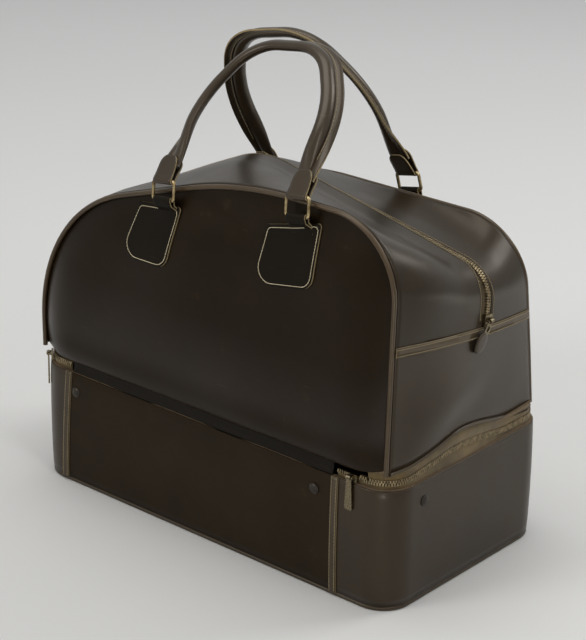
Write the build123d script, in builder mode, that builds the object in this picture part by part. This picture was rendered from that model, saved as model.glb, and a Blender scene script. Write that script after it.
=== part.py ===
# Travel bag: a soft piped bag hinged on a stiff lower case that has its own zip.
# X runs along the length, -Y is the front, Z is up, and the origin is under the middle of the case.
import os
from math import atan2, cos, degrees, radians, sin, tan

from build123d import *

os.makedirs("parts", exist_ok=True)

# Sheet stock and fits
cover_thickness = 1.2
board_thickness = 2.4
tape_thickness = 0.8
wall_thickness = 2.0
welt_radius = 2.2
seat_gap = 0.1
run_gap = 0.35
pin_gap = 0.06
overrun = 30

# Lower case
case_length = 430
case_depth = 225
case_height = 116
case_corner = 30
base_thickness = 3
left_seam_share = -0.8
left_seam_slant = 8
right_seam_share = 0.716
strip_width = 8
strip_thickness = 1.2
rivet_radius = 5
rivet_height = 1.5
rivet_taper = 35
rivet_drop = 19
left_rivet_share = -0.758
right_rivet_share = 0.609
end_rivet_share = -0.596

# Lower zip, where the bag parts from the case
zip_rise = 6
chain_height = 2.8
chain_thickness = 3
chain_parting = 0.15
tape_sewn = 8
lower_tape_rise = 9
bag_tape_gap = 25
hinge_inset = 2
hinge_roll_radius = 1.9
hinge_flap_thickness = 1.2

# Bag body: outlines across the length at the front seam, the top zip and the rear seam
bag_height = 224
floor_thickness = 3
floor_inset = 3
front_seam_inset = 4.5
rear_foot_inset = 14.5
rear_lean = 10.5
front_shares = [(-0.972, 0), (-0.981, 0.63), (0.186, 0.991), (0.991, 0.995), (0.972, 0)]
front_radius_shares = [0, 0.69, 1.79, 0.3, 0]
middle_shares = [(-0.981, 0), (-1.009, 0.527), (-0.177, 0.888), (1.019, 0.67), (0.981, 0)]
middle_radius_shares = [0, 0.36, 0.4, 0.134, 0]
rear_shares = [(-0.963, 0), (-0.967, 0.559), (-0.116, 0.795), (0.986, 0.803), (0.963, 0)]
rear_radius_shares = [0, 0.4, 1.2, 0.268, 0]

# Big panels: how far two inner rings of a panel stand out, and lie in at the sides, foot and top
front_swell_rise = 15
front_swell_shares = [0.53, 1]
front_swell_leans = [1.4, 3.6]
front_inset_shares = [(0.0625, 0.036, 0.0625), (0.16, 0.098, 0.295)]
rear_swell_rise = 8
rear_swell_shares = [0.625, 1]
rear_swell_leans = [0, 0]
rear_inset_shares = [(0.071, 0.054, 0.071), (0.196, 0.161, 0.223)]
panel_thickness = 1.6

# Waist bands across the ends
waist_rise = 99
waist_fall = 6.8
waist_width = 9
waist_thickness = 0.8

# Top zip
top_zip_y = 8
top_slot_width = 14
top_tape_sink = 0.8
top_chain_width = 5.2
top_chain_rise = 0.9

# Rings, chapes and handles
wire_radius = 1.5
ring_inner_width = 22
ring_inner_height = 14
loop_wall = 1.5
loop_side_gap = 0.5
neck_thickness = 2.4
neck_length = 16
neck_clear = 2
patch_top_width = 52
patch_foot_width = 60
patch_height = 56
patch_drop = 8
patch_thickness = 1.4
patch_top_corner = 4
patch_foot_corner = 15
front_ring_standoff = 11.5
ring_panel_gap = 0.5
front_ring_x_share = 0.165
front_ring_z_share = 0.884
front_ring_spacing = 155
front_ring_tilt = 8.5
front_ring_lean = 12
front_handle_lean = 43.5
rear_ring_x_share = -0.03
rear_ring_z_share = 0.69
rear_ring_spacing = 165
rear_ring_tilt = 12
rear_ring_lean = 5
rear_handle_lean = 24
patch_turns = {"front_left": -27, "front_right": -19, "rear_left": 10, "rear_right": 10}
roll_radius = 6.5
flange_width = 7
flange_thickness = 3
tab_length = 26
tab_thickness = 5
tab_top_share = 0.62
front_arch_height = 143
rear_arch_height = 156
arch_points_shares = [(-0.5, 0.1), (-0.495, 0.58), (-0.27, 1), (0.27, 1), (0.495, 0.58), (0.5, 0.1)]
arch_radius_shares = [0, 0.72, 0.36, 0.36, 0.72, 0]

# Zip sliders and pulls
slider_length = 12
slider_plate = 2
slider_flange = 1.6
slider_lower_reach = 4.8
slider_upper_reach = 2.2
bridge_radius = 0.9
bridge_rise = 2.6
bridge_length = 8
bridge_leg = 1.6
pull_eye_wall = 1.1
pull_eye_length = 4
pull_length = 31
pull_width = 8.5
pull_neck_width = 5
pull_thickness = 1.4
right_slider_gap = 17
top_slider_rise = 10
top_slider_height = 10
top_slider_width = 9.4
top_link_length = 8
top_link_stem = 1.5
top_link_width = 7
top_link_radius = 0.8
top_link_turn = -35
top_tab_length = 20
top_tab_width = 14
top_tab_thickness = 2.4

# Levels and lines that the pieces share
half_length = case_length / 2
half_depth = case_depth / 2
split_z = case_height + zip_rise
floor_z = split_z + lower_tape_rise
bag_z = floor_z + floor_thickness
left_seam_top = left_seam_share * half_length
left_seam_bottom = left_seam_top - left_seam_slant
right_seam = right_seam_share * half_length
rivet_z = case_height - rivet_drop
end_rivet_y = end_rivet_share * half_depth
front_seam_y = -half_depth + front_seam_inset
rear_foot_y = half_depth - rear_foot_inset
waist_z = bag_z + waist_rise
top_slider_z = waist_z + top_slider_rise
cover_foot = 2 * welt_radius + seat_gap
board_inset = cover_thickness
tape_inset = cover_thickness + board_thickness
lining_inset = tape_inset + tape_thickness
chain_inset = tape_inset + tape_thickness / 2 - chain_thickness / 2
hinge_y = -half_depth + hinge_inset
seam_lean = degrees(atan2(left_seam_top - left_seam_bottom, case_height))
bar_hole = wire_radius + pin_gap
loop_radius = bar_hole + loop_wall
loop_length = ring_inner_width - 2 * loop_side_gap
ring_height = ring_inner_height + 2 * wire_radius
ring_half_width = ring_inner_width / 2 + wire_radius

left_seam_plane = Plane(
    origin=(left_seam_bottom, 0, 0), z_dir=(cos(radians(seam_lean)), 0, -sin(radians(seam_lean)))
)
right_seam_plane = Plane(origin=(right_seam, 0, 0), z_dir=(1, 0, 0))
front_face = Plane(origin=(0, -half_depth, 0), x_dir=(1, 0, 0), z_dir=(0, -1, 0))


def turned(plane, angles):
    """The plane turned about its own axes."""
    return Plane(plane.location * Rotation(*angles))


def save(piece, name):
    piece.part.label = name
    export_step(piece.part, f"parts/{name}.step")


def plan_ring(outer_inset, inner_inset, bottom, top):
    """A wall that follows the case's plan."""
    with BuildPart() as ring:
        with BuildSketch(Plane.XY.offset(bottom)):
            plan_shape(outer_inset)
            plan_shape(inner_inset, Mode.SUBTRACT)
        extrude(amount=top - bottom)
    return ring.part


def plan_shape(inset, mode=Mode.ADD):
    RectangleRounded(
        case_length - 2 * inset, case_depth - 2 * inset, case_corner - inset, mode=mode
    )


def front_span(wall, left_plane, right_plane):
    """The stretch of a wall that lies in front, between two planes."""
    with BuildPart() as span:
        add(wall)
        split(bisect_by=left_plane, keep=Keep.TOP)
        split(bisect_by=right_plane, keep=Keep.BOTTOM)
        split(bisect_by=Plane.XZ, keep=Keep.TOP)
    return span.part


# Lower case: boards, vinyl covers, welt, lining and rivets
with BuildPart() as case_board:
    add(plan_ring(board_inset, tape_inset, cover_foot, case_height))
save(case_board, "case_board")

with BuildPart() as base_board:
    with BuildSketch(Plane.XY.offset(cover_thickness)):
        plan_shape(cover_foot)
    extrude(amount=base_thickness)
save(base_board, "base_board")

with BuildPart() as base_cover:
    with BuildSketch():
        plan_shape(cover_foot)
    extrude(amount=cover_thickness)
save(base_cover, "base_cover")

with BuildPart() as bottom_piping:
    welt_x = half_length - welt_radius
    welt_y = half_depth - welt_radius
    with BuildLine(Plane.XY.offset(welt_radius)) as welt_path:
        FilletPolyline(
            (0, -welt_y),
            (welt_x, -welt_y),
            (welt_x, welt_y),
            (-welt_x, welt_y),
            (-welt_x, -welt_y),
            radius=[0] + 4 * [case_corner - welt_radius],
            close=True,
        )
    with BuildSketch(Plane(origin=(0, -welt_y, welt_radius), z_dir=(1, 0, 0))):
        Circle(welt_radius)
    sweep()
save(bottom_piping, "bottom_piping")

case_cover = plan_ring(0, cover_thickness, cover_foot, case_height)
with BuildPart() as front_cover:
    add(front_span(case_cover, left_seam_plane, right_seam_plane))
save(front_cover, "front_cover")

with BuildPart() as wrap_cover:
    add(case_cover)
    add(front_cover.part, mode=Mode.SUBTRACT)
save(wrap_cover, "wrap_cover")

with BuildPart() as case_lining:
    add(plan_ring(tape_inset, lining_inset, cover_foot, case_height - tape_sewn))
    with BuildSketch(Plane.XY.offset(cover_foot)):
        plan_shape(tape_inset)
    extrude(amount=tape_thickness)
save(case_lining, "case_lining")

for side, foot_x, head_x in (
    ("left", left_seam_bottom, left_seam_top),
    ("right", right_seam, right_seam),
):
    with BuildPart() as seam_strip:
        with BuildSketch(front_face):
            with BuildLine():
                Polyline(
                    (foot_x - strip_width / 2, cover_foot),
                    (foot_x + strip_width / 2, cover_foot),
                    (head_x + strip_width / 2, case_height),
                    (head_x - strip_width / 2, case_height),
                    close=True,
                )
            make_face()
        extrude(amount=strip_thickness)
    save(seam_strip, f"{side}_seam_strip")

rivet_places = [
    Plane(origin=(left_rivet_share * half_length, -half_depth, rivet_z), z_dir=(0, -1, 0)),
    Plane(origin=(right_rivet_share * half_length, -half_depth, rivet_z), z_dir=(0, -1, 0)),
    Plane(origin=(half_length, end_rivet_y, rivet_z), z_dir=(1, 0, 0)),
    Plane(origin=(-half_length, end_rivet_y, rivet_z), z_dir=(-1, 0, 0)),
]
with BuildPart() as case_rivets:
    for rivet_place in rivet_places:
        with BuildSketch(rivet_place):
            Circle(rivet_radius)
    extrude(amount=rivet_height, taper=rivet_taper)
save(case_rivets, "case_rivets")

# Lower zip: one tape and one row of teeth on each side of the parting line
chain_foot = split_z - chain_height
chain_head = split_z + chain_height
zip_walls = {
    "case_zip_tape": plan_ring(tape_inset, lining_inset, case_height - tape_sewn, chain_foot),
    "case_zip_chain": plan_ring(
        chain_inset, chain_inset + chain_thickness, chain_foot, split_z - chain_parting
    ),
    "bag_zip_chain": plan_ring(
        chain_inset, chain_inset + chain_thickness, split_z + chain_parting, chain_head
    ),
    "bag_zip_tape": plan_ring(tape_inset, lining_inset, chain_head, floor_z),
}
bag_tape_planes = (
    Plane.YZ.offset(-half_length + bag_tape_gap),
    Plane.YZ.offset(half_length - bag_tape_gap),
)
for zip_name, zip_wall in zip_walls.items():
    seams = (left_seam_plane, right_seam_plane)
    with BuildPart() as zip_half:
        add(zip_wall)
        if zip_name.startswith("bag"):
            add(front_span(zip_wall, *bag_tape_planes), mode=Mode.SUBTRACT)
        else:
            add(front_span(zip_wall, *seams), mode=Mode.SUBTRACT)
    save(zip_half, zip_name)

# Vinyl hinge: a roll on the parting line, carried by the case, and a flap under the bag
hinge_start = left_seam_top + strip_width / 2
hinge_end = right_seam - strip_width / 2
hinge_section = Plane(origin=(hinge_start, hinge_y, split_z), x_dir=(0, 1, 0), z_dir=(1, 0, 0))
with BuildPart() as hinge_strip:
    with BuildSketch(hinge_section):
        Circle(hinge_roll_radius)
        with Locations((0, -zip_rise)):
            Rectangle(
                2 * (hinge_inset - cover_thickness),
                zip_rise,
                align=(Align.CENTER, Align.MIN),
            )
    extrude(amount=hinge_end - hinge_start)
save(hinge_strip, "hinge_strip")

with BuildPart() as hinge_flap:
    with BuildSketch(hinge_section):
        with Locations((hinge_flap_thickness / 2 + floor_inset - hinge_inset, lower_tape_rise)):
            Rectangle(
                hinge_flap_thickness,
                lower_tape_rise - hinge_roll_radius - run_gap,
                align=(Align.CENTER, Align.MAX),
            )
    extrude(amount=hinge_end - hinge_start)
save(hinge_flap, "hinge_flap")

with BuildPart() as floor_board:
    with BuildSketch(Plane.XY.offset(floor_z)):
        plan_shape(floor_inset)
    extrude(amount=floor_thickness)
save(floor_board, "floor_board")


# Bag body: nested lofts through three outlines, cut into the cloth panels
def leaning_plane(y, lean):
    """An upright plane across the depth, whose top leans to the rear by lean degrees."""
    return Plane(
        origin=(0, y, bag_z), x_dir=(1, 0, 0), z_dir=(0, -cos(radians(lean)), sin(radians(lean)))
    )


front_plane = leaning_plane(front_seam_y, 0)
middle_plane = leaning_plane(top_zip_y, 0)
rear_plane = leaning_plane(rear_foot_y, -rear_lean)
bag_sections = [
    (front_plane, front_shares, front_radius_shares),
    (middle_plane, middle_shares, middle_radius_shares),
    (rear_plane, rear_shares, rear_radius_shares),
]


def outline_points(shares, side, foot, top):
    left_foot, left_top, crest, right_top, right_foot = [
        (x * half_length, z * bag_height) for x, z in shares
    ]
    left_slope = (left_top[0] - left_foot[0]) / left_top[1]
    right_slope = (right_top[0] - right_foot[0]) / right_top[1]
    return [
        (left_top[0] + side - left_slope * (left_top[1] - top - foot), foot),
        (left_top[0] + side, left_top[1] - top),
        (crest[0], crest[1] - top),
        (right_top[0] - side, right_top[1] - top),
        (right_top[0] - side - right_slope * (right_top[1] - top - foot), foot),
    ]


def outline_radii(shares, radius_shares, foot, top):
    """Corner radii that shrink with the lower shoulder's height as an outline draws in."""
    shoulder_height = shares[1][1] * bag_height
    kept = 1 - (max(foot, 0) + top) / shoulder_height
    return [share * bag_height * kept for share in radius_shares]


def outline_face(plane, shares, radius_shares, side, foot, top):
    with BuildSketch(plane) as face:
        with BuildLine():
            FilletPolyline(
                *outline_points(shares, side, foot, top),
                radius=outline_radii(shares, radius_shares, foot, top),
                close=True,
            )
        make_face()
    return face.sketch


def bag_loft(inset, foot):
    faces = [outline_face(*section, inset, foot, inset) for section in bag_sections]
    with BuildPart() as body:
        loft(faces)
    return body.part


def bag_layer(outer_inset, inner_inset, inner_foot=0):
    """A layer of the bag's wall, open at the front and the rear."""
    with BuildPart() as layer:
        add(bag_loft(outer_inset, 0))
        add(bag_loft(inner_inset, inner_foot), mode=Mode.SUBTRACT)
    return layer.part


waist_plane = Plane(
    origin=(0, 0, waist_z), z_dir=(0, sin(radians(waist_fall)), cos(radians(waist_fall)))
)


def across(y):
    return Plane(origin=(0, y, 0), z_dir=(0, 1, 0))


bag_wall = bag_layer(0, wall_thickness, -overrun)
with BuildPart() as front_gusset:
    add(bag_wall)
    split(bisect_by=waist_plane, keep=Keep.TOP)
    split(bisect_by=across(top_zip_y - top_slot_width / 2), keep=Keep.BOTTOM)
save(front_gusset, "front_gusset")

with BuildPart() as rear_gusset:
    add(bag_wall)
    split(bisect_by=waist_plane, keep=Keep.TOP)
    split(bisect_by=across(top_zip_y + top_slot_width / 2), keep=Keep.TOP)
save(rear_gusset, "rear_gusset")

band_layer = bag_layer(-waist_thickness - seat_gap, -seat_gap)
for side, kept in (("left", Keep.BOTTOM), ("right", Keep.TOP)):
    with BuildPart() as end_panel:
        add(bag_wall)
        split(bisect_by=waist_plane, keep=Keep.BOTTOM)
        split(bisect_by=Plane.YZ, keep=kept)
    save(end_panel, f"{side}_end_panel")
    with BuildPart() as waist_band:
        add(band_layer)
        split(bisect_by=waist_plane.offset(waist_width / 2), keep=Keep.BOTTOM)
        split(bisect_by=waist_plane.offset(-waist_width / 2), keep=Keep.TOP)
        split(bisect_by=Plane.YZ, keep=kept)
    save(waist_band, f"{side}_waist_band")

tape_layer = bag_layer(top_tape_sink, wall_thickness)
chain_layer = bag_layer(-top_chain_rise, top_tape_sink)
top_zip_bands = [
    ("top_zip_front_tape", tape_layer, -top_slot_width / 2, 0),
    ("top_zip_rear_tape", tape_layer, 0, top_slot_width / 2),
    ("top_zip_chain", chain_layer, -top_chain_width / 2, top_chain_width / 2),
]
waist_top = waist_plane.offset(waist_width / 2)
for band_name, layer, near_edge, far_edge in top_zip_bands:
    with BuildPart() as zip_band:
        add(layer)
        split(bisect_by=waist_top, keep=Keep.TOP)
        split(bisect_by=across(top_zip_y + near_edge), keep=Keep.TOP)
        split(bisect_by=across(top_zip_y + far_edge), keep=Keep.BOTTOM)
    save(zip_band, band_name)


# Big panels: swollen sheets inside a welt
def swollen(section, swell_rise, swell_shares, swell_leans, inset_shares, outward, grow):
    """A panel's filled form, grown by a layer, standing on its seam plane."""
    base_plane, shares, radius_shares = section
    edge = 2 * welt_radius + seat_gap - grow
    faces = [outline_face(base_plane, shares, radius_shares, edge, edge, edge)]
    for swell_share, lean, ring_shares in zip(swell_shares, swell_leans, inset_shares):
        ring_rise = swell_rise * swell_share + grow
        ring_plane = turned(base_plane.offset(outward * ring_rise), (-lean, 0, 0))
        insets = [share * bag_height - grow for share in ring_shares]
        faces.append(outline_face(ring_plane, shares, radius_shares, *insets))
    with BuildPart() as form:
        loft(faces)
    return form.part


front_form = (
    bag_sections[0], front_swell_rise, front_swell_shares, front_swell_leans, front_inset_shares, 1
)
rear_form = (
    bag_sections[2], rear_swell_rise, rear_swell_shares, rear_swell_leans, rear_inset_shares, -1
)
panel_solids = {}
patch_layers = {}
for end, form in (("front", front_form), ("rear", rear_form)):
    panel_solids[end] = swollen(*form, 0)
    with BuildPart() as big_panel:
        add(panel_solids[end])
        add(swollen(*form, -panel_thickness), mode=Mode.SUBTRACT)
    save(big_panel, f"{end}_panel")
    with BuildPart() as patch_layer:
        add(swollen(*form, patch_thickness))
        add(panel_solids[end], mode=Mode.SUBTRACT)
    patch_layers[end] = patch_layer.part
    plane, shares, radius_shares = form[0]
    welt_plane = plane.offset(form[-1] * welt_radius)
    welt_points = outline_points(shares, welt_radius, welt_radius, welt_radius)
    with BuildPart() as big_piping:
        with BuildLine(welt_plane) as welt_line:
            FilletPolyline(
                *welt_points,
                radius=outline_radii(shares, radius_shares, welt_radius, welt_radius)[1:-1],
            )
        with BuildSketch(Plane(origin=welt_line.line @ 0, z_dir=welt_line.line % 0)):
            Circle(welt_radius)
        sweep()
    save(big_piping, f"{end}_piping")


# Rings, chapes and handles, worked out along each pair's own axis
def vector_sum(*terms):
    return tuple(sum(scale * v[i] for scale, v in terms) for i in range(3))


front_axis = (cos(radians(front_ring_tilt)), 0, sin(radians(front_ring_tilt)))
front_up = (-sin(radians(front_ring_tilt)), 0, cos(radians(front_ring_tilt)))
rear_axis = (cos(radians(rear_ring_tilt)), 0, sin(radians(rear_ring_tilt)))
rear_up = (-sin(radians(rear_ring_tilt)), 0, cos(radians(rear_ring_tilt)))
to_rear = (0, 1, 0)
front_ring_mid = (
    front_ring_x_share * half_length,
    front_seam_y - front_ring_standoff,
    bag_z + front_ring_z_share * bag_height,
)
rear_ring_rise = rear_ring_z_share * bag_height
rear_ring_drop = rear_ring_spacing / 2 * sin(radians(rear_ring_tilt))
rear_ring_standoff = (
    rear_swell_rise + wire_radius + ring_panel_gap + rear_ring_drop * tan(radians(rear_lean))
)
rear_ring_mid = (
    rear_ring_x_share * half_length,
    rear_foot_y - rear_ring_rise * tan(radians(rear_lean)) + rear_ring_standoff,
    bag_z + rear_ring_rise,
)


def leaned(up, lean):
    """The direction of something that stands across an axis and leans to the rear."""
    return vector_sum((cos(radians(lean)), up), (sin(radians(lean)), to_rear))


pairs = {
    "front": (
        front_ring_mid,
        front_axis,
        leaned(front_up, front_ring_lean),
        leaned(front_up, front_handle_lean),
        front_ring_spacing,
        front_arch_height,
        -1,
        (front_plane, Keep.TOP),
    ),
    "rear": (
        rear_ring_mid,
        rear_axis,
        leaned(rear_up, -rear_ring_lean),
        leaned(rear_up, -rear_handle_lean),
        rear_ring_spacing,
        rear_arch_height,
        1,
        (rear_plane, Keep.BOTTOM),
    ),
}


def eye(middle, axis, radius):
    """A round bar across a ring, for the loops of vinyl folded round its wire."""
    start = vector_sum((1, middle), (-loop_length / 2, axis))
    with BuildPart() as bar:
        with BuildSketch(Plane(origin=start, z_dir=axis)):
            Circle(radius)
        extrude(amount=loop_length)
    return bar.part


for end, pair in pairs.items():
    middle, axis, ring_rise, handle_rise, spacing, arch_height, flange_side, seam = pair
    seam_plane, outer_side = seam
    ring_normal = tuple(Vector(*axis).cross(Vector(*ring_rise)))
    normal = tuple(Vector(*axis).cross(Vector(*handle_rise)))
    sides = (("left", -1), ("right", 1))
    for side, sign in sides:
        place = vector_sum((1, middle), (sign * spacing / 2, axis))
        with BuildPart() as ring:
            with BuildLine(Plane(origin=place, x_dir=axis, z_dir=ring_normal)):
                Polyline(
                    (0, 0),
                    (ring_half_width, 0),
                    (ring_half_width, ring_height),
                    (-ring_half_width, ring_height),
                    (-ring_half_width, 0),
                    close=True,
                )
            with BuildSketch(Plane(origin=place, z_dir=axis)):
                Circle(wire_radius)
            sweep(transition=Transition.RIGHT)
        save(ring, f"{end}_{side}_ring")

        if end == "front":
            patch_plane = Plane(origin=place, x_dir=axis, z_dir=(0, -1, 0))
        else:
            back_axis = vector_sum((-1, axis))
            patch_plane = Plane(origin=place, x_dir=back_axis, z_dir=tuple(-rear_plane.z_dir))
        with BuildPart() as patch:
            with BuildSketch(turned(patch_plane, (0, 0, patch_turns[f"{end}_{side}"]))):
                with BuildLine():
                    FilletPolyline(
                        (-patch_top_width / 2, -patch_drop),
                        (patch_top_width / 2, -patch_drop),
                        (patch_foot_width / 2, -patch_drop - patch_height),
                        (-patch_foot_width / 2, -patch_drop - patch_height),
                        radius=2 * [patch_top_corner] + 2 * [patch_foot_corner],
                        close=True,
                    )
                make_face()
            extrude(amount=overrun, both=True)
            add(patch_layers[end], mode=Mode.INTERSECT)
        with BuildPart() as neck:
            with BuildSketch(patch_plane.offset(neck_thickness - loop_radius)):
                with Locations((0, -neck_clear)):
                    Rectangle(loop_length, neck_length, align=(Align.CENTER, Align.MAX))
            extrude(amount=-overrun)
            split(bisect_by=seam_plane, keep=outer_side)
            add(eye(place, axis, loop_radius))
            add(panel_solids[end], mode=Mode.SUBTRACT)
        with BuildPart() as chape:
            add(patch.part)
            add(neck.part)
            add(eye(place, axis, bar_hole), mode=Mode.SUBTRACT)
        save(chape, f"{end}_{side}_chape")

    upper_mid = vector_sum((1, middle), (ring_height, ring_rise))
    handle_plane = Plane(origin=upper_mid, x_dir=axis, z_dir=normal)
    with BuildPart() as handle:
        with BuildLine(handle_plane) as arch:
            FilletPolyline(
                *[(x * spacing, z * arch_height) for x, z in arch_points_shares],
                radius=[share * arch_height for share in arch_radius_shares[1:-1]],
            )
        section_plane = Plane(origin=arch.line @ 0, x_dir=normal, z_dir=arch.line % 0)
        with BuildSketch(section_plane):
            Circle(roll_radius)
            with Locations((flange_side * (roll_radius + flange_width) / 2, 0)):
                Rectangle(roll_radius + flange_width, flange_thickness)
        sweep()
        with BuildSketch(handle_plane):
            for side, sign in sides:
                with BuildLine():
                    Polyline(
                        (sign * spacing / 2 - loop_length / 2, 0),
                        (sign * spacing / 2 + loop_length / 2, 0),
                        (sign * spacing / 2 + loop_length / 2 * tab_top_share, tab_length),
                        (sign * spacing / 2 - loop_length / 2 * tab_top_share, tab_length),
                        close=True,
                    )
                make_face()
        extrude(amount=tab_thickness / 2, both=True)
        for side, sign in sides:
            place = vector_sum((1, upper_mid), (sign * spacing / 2, axis))
            add(eye(place, axis, loop_radius))
            add(eye(place, axis, bar_hole), mode=Mode.SUBTRACT)
    save(handle, f"{end}_handle")


# Zip sliders of the lower zip: a plate over the teeth, a lip under them and a bridge for the pull
def lower_slider(face, name):
    """face lies on the teeth's outer side, x along the zip, z outward, origin on the parting line."""
    plate = face.offset(run_gap)
    bridge = plate.offset(slider_plate + bridge_rise)
    with BuildPart() as slider:
        with BuildSketch(plate):
            with Locations((0, slider_upper_reach)):
                Rectangle(
                    slider_length,
                    slider_upper_reach + slider_lower_reach,
                    align=(Align.CENTER, Align.MAX),
                )
        extrude(amount=slider_plate)
        with BuildSketch(plate):
            with Locations((0, -slider_lower_reach)):
                Rectangle(slider_length, slider_flange, align=(Align.CENTER, Align.MIN))
        extrude(amount=-(chain_thickness - tape_thickness) / 2)
        with BuildSketch(plate.offset(slider_plate)):
            for sign in (-1, 1):
                with Locations((sign * (bridge_length - bridge_leg) / 2, 0)):
                    Rectangle(bridge_leg, 2 * bridge_radius)
        extrude(amount=bridge_rise + bridge_radius)
        bar_plane = Plane(origin=bridge.origin, z_dir=bridge.x_dir)
        with BuildSketch(bar_plane):
            Circle(bridge_radius)
        extrude(amount=(bridge_length - bridge_leg) / 2, both=True)
    save(slider, f"{name}_slider")

    eye_radius = bridge_radius + pin_gap + pull_eye_wall
    with BuildPart() as pull:
        with BuildSketch(bar_plane):
            Circle(eye_radius)
        extrude(amount=pull_eye_length / 2, both=True)
        with BuildSketch(bridge):
            with BuildLine():
                FilletPolyline(
                    (-pull_neck_width / 2, 0),
                    (pull_neck_width / 2, 0),
                    (pull_width / 2, -pull_length),
                    (-pull_width / 2, -pull_length),
                    radius=[0, 0, pull_width / 4, pull_width / 4],
                    close=True,
                )
            make_face()
        extrude(amount=pull_thickness / 2, both=True)
        with BuildSketch(bar_plane):
            Circle(bridge_radius + pin_gap)
        extrude(amount=pull_neck_width, both=True, mode=Mode.SUBTRACT)
        with BuildSketch(bridge):
            with Locations((-pull_neck_width / 2, 0), (pull_neck_width / 2, 0)):
                Rectangle(pull_neck_width - pull_eye_length, 2 * eye_radius)
        extrude(amount=eye_radius, both=True, mode=Mode.SUBTRACT)
    save(pull, f"{name}_pull")


chain_face_y = -half_depth + chain_inset
lower_slider(
    Plane(
        origin=(right_seam + right_slider_gap, chain_face_y, split_z),
        x_dir=(1, 0, 0),
        z_dir=(0, -1, 0),
    ),
    "right",
)
corner_x = -half_length + case_corner
corner_y = -half_depth + case_corner
corner_reach = (case_corner - chain_inset) * cos(radians(45))
lower_slider(
    Plane(
        origin=(corner_x - corner_reach, corner_y - corner_reach, split_z),
        x_dir=(1, -1, 0),
        z_dir=(-1, -1, 0),
    ),
    "left",
)

# Top slider, on the upright stretch of the top zip at the right end, with a wire link and a vinyl tab
right_foot, right_top = middle_shares[4], middle_shares[3]
side_run = (right_top[0] - right_foot[0]) * half_length
side_climb = (right_top[1] - right_foot[1]) * bag_height
side_lean = atan2(side_run, side_climb)
slider_x = right_foot[0] * half_length + (top_slider_z - bag_z) * side_run / side_climb
top_face = Plane(
    origin=(slider_x, top_zip_y, top_slider_z),
    x_dir=(0, 1, 0),
    z_dir=(cos(side_lean), 0, -sin(side_lean)),
).offset(top_chain_rise / cos(side_lean) + run_gap)
top_bridge = top_face.offset(slider_plate + bridge_rise)
with BuildPart() as top_slider:
    with BuildSketch(top_face):
        Rectangle(top_slider_width, top_slider_height)
    extrude(amount=slider_plate)
    with BuildSketch(top_face):
        for sign in (-1, 1):
            with Locations((sign * (top_slider_width - slider_flange) / 2, 0)):
                Rectangle(slider_flange, top_slider_height)
    extrude(amount=-(top_chain_rise + top_tape_sink - seat_gap))
    with BuildSketch(top_face.offset(slider_plate)):
        for sign in (-1, 1):
            with Locations((sign * (bridge_length - bridge_leg) / 2, 0)):
                Rectangle(bridge_leg, 2 * bridge_radius)
    extrude(amount=bridge_rise + bridge_radius)
    top_bar = Plane(origin=top_bridge.origin, z_dir=top_bridge.x_dir)
    with BuildSketch(top_bar):
        Circle(bridge_radius)
    extrude(amount=(bridge_length - bridge_leg) / 2, both=True)
save(top_slider, "top_slider")

link_eye = bridge_radius + pin_gap + pull_eye_wall
hang_plane = turned(top_bridge, (0, 0, top_link_turn))
link_top = -link_eye - top_link_stem
with BuildPart() as top_pull_link:
    with BuildSketch(top_bar):
        Circle(link_eye)
    extrude(amount=pull_eye_length / 2, both=True)
    with BuildSketch(hang_plane):
        with Locations((0, link_top)):
            Rectangle(2 * top_link_radius, -link_top, align=(Align.CENTER, Align.MIN))
            Rectangle(top_link_width, top_link_length, align=(Align.CENTER, Align.MAX))
        with Locations((0, link_top - 2 * top_link_radius)):
            Rectangle(
                top_link_width - 4 * top_link_radius,
                top_link_length - 4 * top_link_radius,
                align=(Align.CENTER, Align.MAX),
                mode=Mode.SUBTRACT,
            )
    extrude(amount=top_link_radius, both=True)
    with BuildSketch(top_bar):
        Circle(bridge_radius + pin_gap)
    extrude(amount=bridge_length, both=True, mode=Mode.SUBTRACT)
save(top_pull_link, "top_pull_link")

with BuildPart() as top_pull_tab:
    with BuildSketch(hang_plane):
        with Locations((0, link_top - top_link_length - top_tab_length / 2)):
            Ellipse(top_tab_width / 2, top_tab_length / 2)
    extrude(amount=top_tab_thickness / 2, both=True)
save(top_pull_tab, "top_pull_tab")
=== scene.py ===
# Travel bag: a soft brown vinyl bag, piped and zipped, hinged on a stiff zipped shoe case.
# X runs along the length, -Y is the front and Z is up, in metres.
import math

import bmesh
import bpy
import numpy as np
from mathutils import Matrix, Vector
from mathutils.bvhtree import BVHTree


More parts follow.
